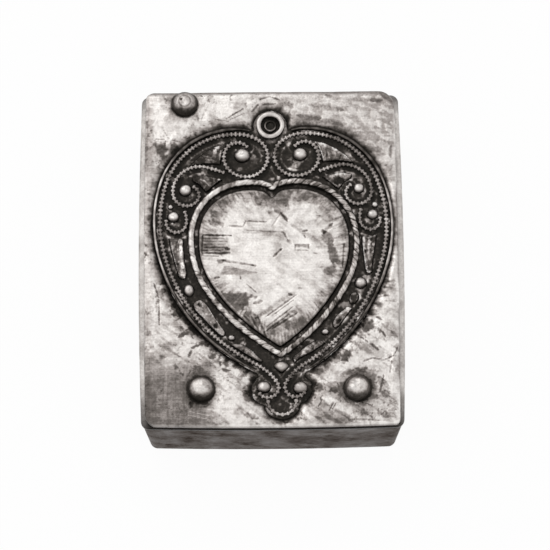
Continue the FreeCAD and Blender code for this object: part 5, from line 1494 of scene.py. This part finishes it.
def velvetPad(name, node, upward, body):
    low, high = boxOf(node)
    thick = high[2] - low[2]
    outline = roundedBox(low + 0.2, high - 0.2, padLook["corner"], 0.6, padLook["waist"])

    def crown(points, depth):
        rise = thick * (0.45 + 0.30 * smooth(0, 6, depth) ** 0.6)
        edge = min(padLook["edge"], thick * 0.6)
        inside = np.clip(edge - depth, 0, edge)
        rise -= (edge - np.sqrt(edge ** 2 - inside ** 2)) * 0.9
        return np.maximum(rise, 0.1) + 0.02 * clouds(points, 12, 101, 2), np.zeros(len(points))

    vertices, faces, _ = reliefPlate(outline, crown, 0.0, padLook["spacing"], padLook["insets"])
    vertices, faces = swollen(vertices, faces, padLook)
    vertices[:, 2] -= vertices[:, 2].min()
    vertices[:, 2] *= min(1.0, (thick - 0.05) / vertices[:, 2].max())
    middle = (low + high)[:2] / 2
    reach = (high - low)[:2] / 2 / np.abs(vertices[:, :2] - middle).max(0)
    vertices[:, :2] = middle + (vertices[:, :2] - middle) * reach
    if upward:
        vertices[:, 2] += low[2]
    else:
        vertices[:, 2] = high[2] - vertices[:, 2]
        faces = [tuple(reversed(face)) for face in faces]
    pad = makePiece(name, vertices, faces, sharpest=60)
    pad.data.materials.append(velvet)
    finer = pad.modifiers.new("finer", "SUBSURF")
    finer.levels = finer.render_levels = 1
    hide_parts(node)
    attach(pad, body)
    return pad


liningPad = velvetPad("liningPad", "lining_pad", True, "box")
lidPad = velvetPad("lidPad", "lid_pad", False, "lid")
print("velvet pads", len(liningPad.data.polygons), len(lidPad.data.polygons))


# Velvet strip glued round the walls, and felt glued under the base

liningLow, liningHigh = boxOf("wall_lining")
strip = {"thick": 0.9, "corner": 2.0, "levels": 26}
halfThick = strip["thick"] / 2
middleLine = roundedBox(liningLow + halfThick, liningHigh - halfThick, strip["corner"] - halfThick, 1.0)
levels = np.linspace(liningLow[2], liningHigh[2] - halfThick, strip["levels"])
section = [(-halfThick, z) for z in levels]  # up the wall side, over the rolled top, down the open side
section += [(-halfThick * math.cos(a), liningHigh[2] - halfThick + halfThick * math.sin(a))
            for a in np.radians((30, 60, 90, 120, 150))]
section += [(halfThick, z) for z in levels[::-1]]
rings = []
for offset, z in section:
    heights = np.full(len(middleLine), z)
    wave = 0.05 * clouds(np.column_stack([np.arange(len(middleLine)), heights]), 7.0, 111, 2) - 0.06
    line = middleLine + leftOf(middleLine) * (offset + wave * (offset > 0))[:, None]
    rings.append(np.column_stack([line, heights]))
count = len(middleLine)
faces = []
for k in range(len(rings)):
    a, b = k * count, (k + 1) % len(rings) * count
    faces += [(a + j, a + (j + 1) % count, b + (j + 1) % count, b + j) for j in range(count)]
wallLining = makePiece("wallLining", np.vstack(rings), faces, sharpest=60)
wallLining.data.materials.append(velvet)
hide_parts("wall_lining")
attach(wallLining, "box")

feltLow, feltHigh = boxOf("base_felt")
feltCut = {"gap": 0.08, "corner": 2.0, "edgeRound": 0.25, "below": 0.04, "fuzz": 0.02, "ragged": 0.05}


def feltFace(points, depth):
    rounding = feltCut["edgeRound"]
    edge = np.clip(rounding - depth, 0, rounding)
    sunk = feltCut["below"] + (rounding - np.sqrt(rounding ** 2 - edge ** 2)) * 0.4
    return feltHigh[2] - sunk + feltCut["fuzz"] * clouds(points, 3, 121, 3), edge


feltOutline = roundedBox(feltLow + feltCut["gap"], feltHigh - feltCut["gap"], feltCut["corner"], 0.7)
feltOutline += feltCut["ragged"] * np.stack(
    [clouds(feltOutline, 3.0, 123, 2), clouds(feltOutline, 3.0, 124, 2)], 1)
vertices, faces, _ = reliefPlate(feltOutline, feltFace, feltLow[2], 1.2, (0.12, 0.3))
feltBase = makePiece("feltBase", vertices, faces, sharpest=50)
feltBase.data.materials.append(felt)
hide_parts("base_felt")
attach(feltBase, "box")
print("linings ready")


# Floor, studio light and camera

def seenDirectly(tree):  # 1 where the camera, a reflection or a refraction looks at it
    rays = addNode(tree, "ShaderNodeLightPath").outputs
    both = addNode(
        tree, "ShaderNodeMath", {"operation": "MAXIMUM"}, _0=rays["Is Camera Ray"], _1=rays["Is Glossy Ray"])
    return addNode(
        tree, "ShaderNodeMath", {"operation": "MAXIMUM"},
        _0=both.outputs[0], _1=rays["Is Transmission Ray"]).outputs[0]


studio = {  # metres and watts
    "roomLight": 0.80, "floorColour": "#F6F6F5", "floorGlow": 0.95, "floorReach": 3, "floorHeight": -5e-5,
    "aim": 0.025,  # the height on the box that the lamps point at
    "lamps": [  # x, y, z, size and power
        ("softBox", -0.38, 0.45, 0.62, 0.90, 1.3),
        ("sparkLamp", -0.20, 0.05, 0.80, 0.20, 0.07)],
}
world = bpy.data.worlds.new("studio")
scene.world = world
world.use_nodes = True
worldTree = world.node_tree
worldTree.nodes.clear()
room = addNode(worldTree, "ShaderNodeBackground", Color=(1, 1, 1, 1), Strength=studio["roomLight"])
backdrop = addNode(worldTree, "ShaderNodeBackground", Color=(1, 1, 1, 1), Strength=1.0)
mixed = addNode(
    worldTree, "ShaderNodeMixShader", _0=seenDirectly(worldTree), _1=room.outputs[0], _2=backdrop.outputs[0])
addNode(worldTree, "ShaderNodeOutputWorld", Surface=mixed.outputs[0])

floorMaterial = bpy.data.materials.new("paleFloor")
floorMaterial.use_nodes = True
floorTree = floorMaterial.node_tree
floorTree.nodes.clear()
matt = addNode(floorTree, "ShaderNodeBsdfDiffuse", Color=linear(studio["floorColour"]))
glow = addNode(floorTree, "ShaderNodeEmission", Color=(1, 1, 1, 1), Strength=1.0)
share = addNode(
    floorTree, "ShaderNodeMath", {"operation": "MULTIPLY"},
    _0=seenDirectly(floorTree), _1=studio["floorGlow"])
mixed = addNode(floorTree, "ShaderNodeMixShader", _0=share.outputs[0], _1=matt.outputs[0], _2=glow.outputs[0])
addNode(floorTree, "ShaderNodeOutputMaterial", Surface=mixed.outputs[0])
floorMesh = bpy.data.meshes.new("floor")
floorMesh.from_pydata(
    [(studio["floorReach"] * x, studio["floorReach"] * y, studio["floorHeight"])
     for x, y in ((-1, -1), (1, -1), (1, 1), (-1, 1))], [], [(0, 1, 2, 3)])
floorMesh.materials.append(floorMaterial)
floor = bpy.data.objects.new("floor", floorMesh)
scene.collection.objects.link(floor)

for name, x, y, z, size, power in studio["lamps"]:
    lamp = bpy.data.lights.new(name, "AREA")
    lamp.shape = "DISK"
    lamp.size = size
    lamp.energy = power
    holder = bpy.data.objects.new(name, lamp)
    holder.location = (x, y, z)
    holder.rotation_mode = "QUATERNION"
    holder.rotation_quaternion = Vector((-x, -y, studio["aim"] - z)).to_track_quat("-Z", "Y")
    scene.collection.objects.link(holder)

view = {  # millimetres, but for the tilt in degrees, the roll in radians and the clip in metres
    "target": (0.8, -4.6, 26.0), "distance": 800.0, "tilt": 18.0, "roll": -0.009, "lens": 233.0,
    "sensor": 36, "clip": (0.05, 20)}
tilt, roll = math.radians(view["tilt"]), view["roll"]
back = Vector((0, -math.sin(tilt), math.cos(tilt)))
right = Vector((1, 0, 0))
up = back.cross(right)
rolledRight = right * math.cos(roll) + up * math.sin(roll)
rolledUp = up * math.cos(roll) - right * math.sin(roll)
camera = bpy.data.objects.new("camera", bpy.data.cameras.new("camera"))
scene.collection.objects.link(camera)
camera.data.lens = view["lens"]
camera.data.sensor_width = view["sensor"]
camera.data.clip_start, camera.data.clip_end = view["clip"]
eye = (Vector(view["target"]) + back * view["distance"]) * mm
rows = [[rolledRight[k], rolledUp[k], back[k], eye[k]] for k in range(3)] + [[0, 0, 0, 1]]
camera.matrix_world = Matrix(rows)
scene.camera = camera
scene.view_settings.view_transform = "Standard"
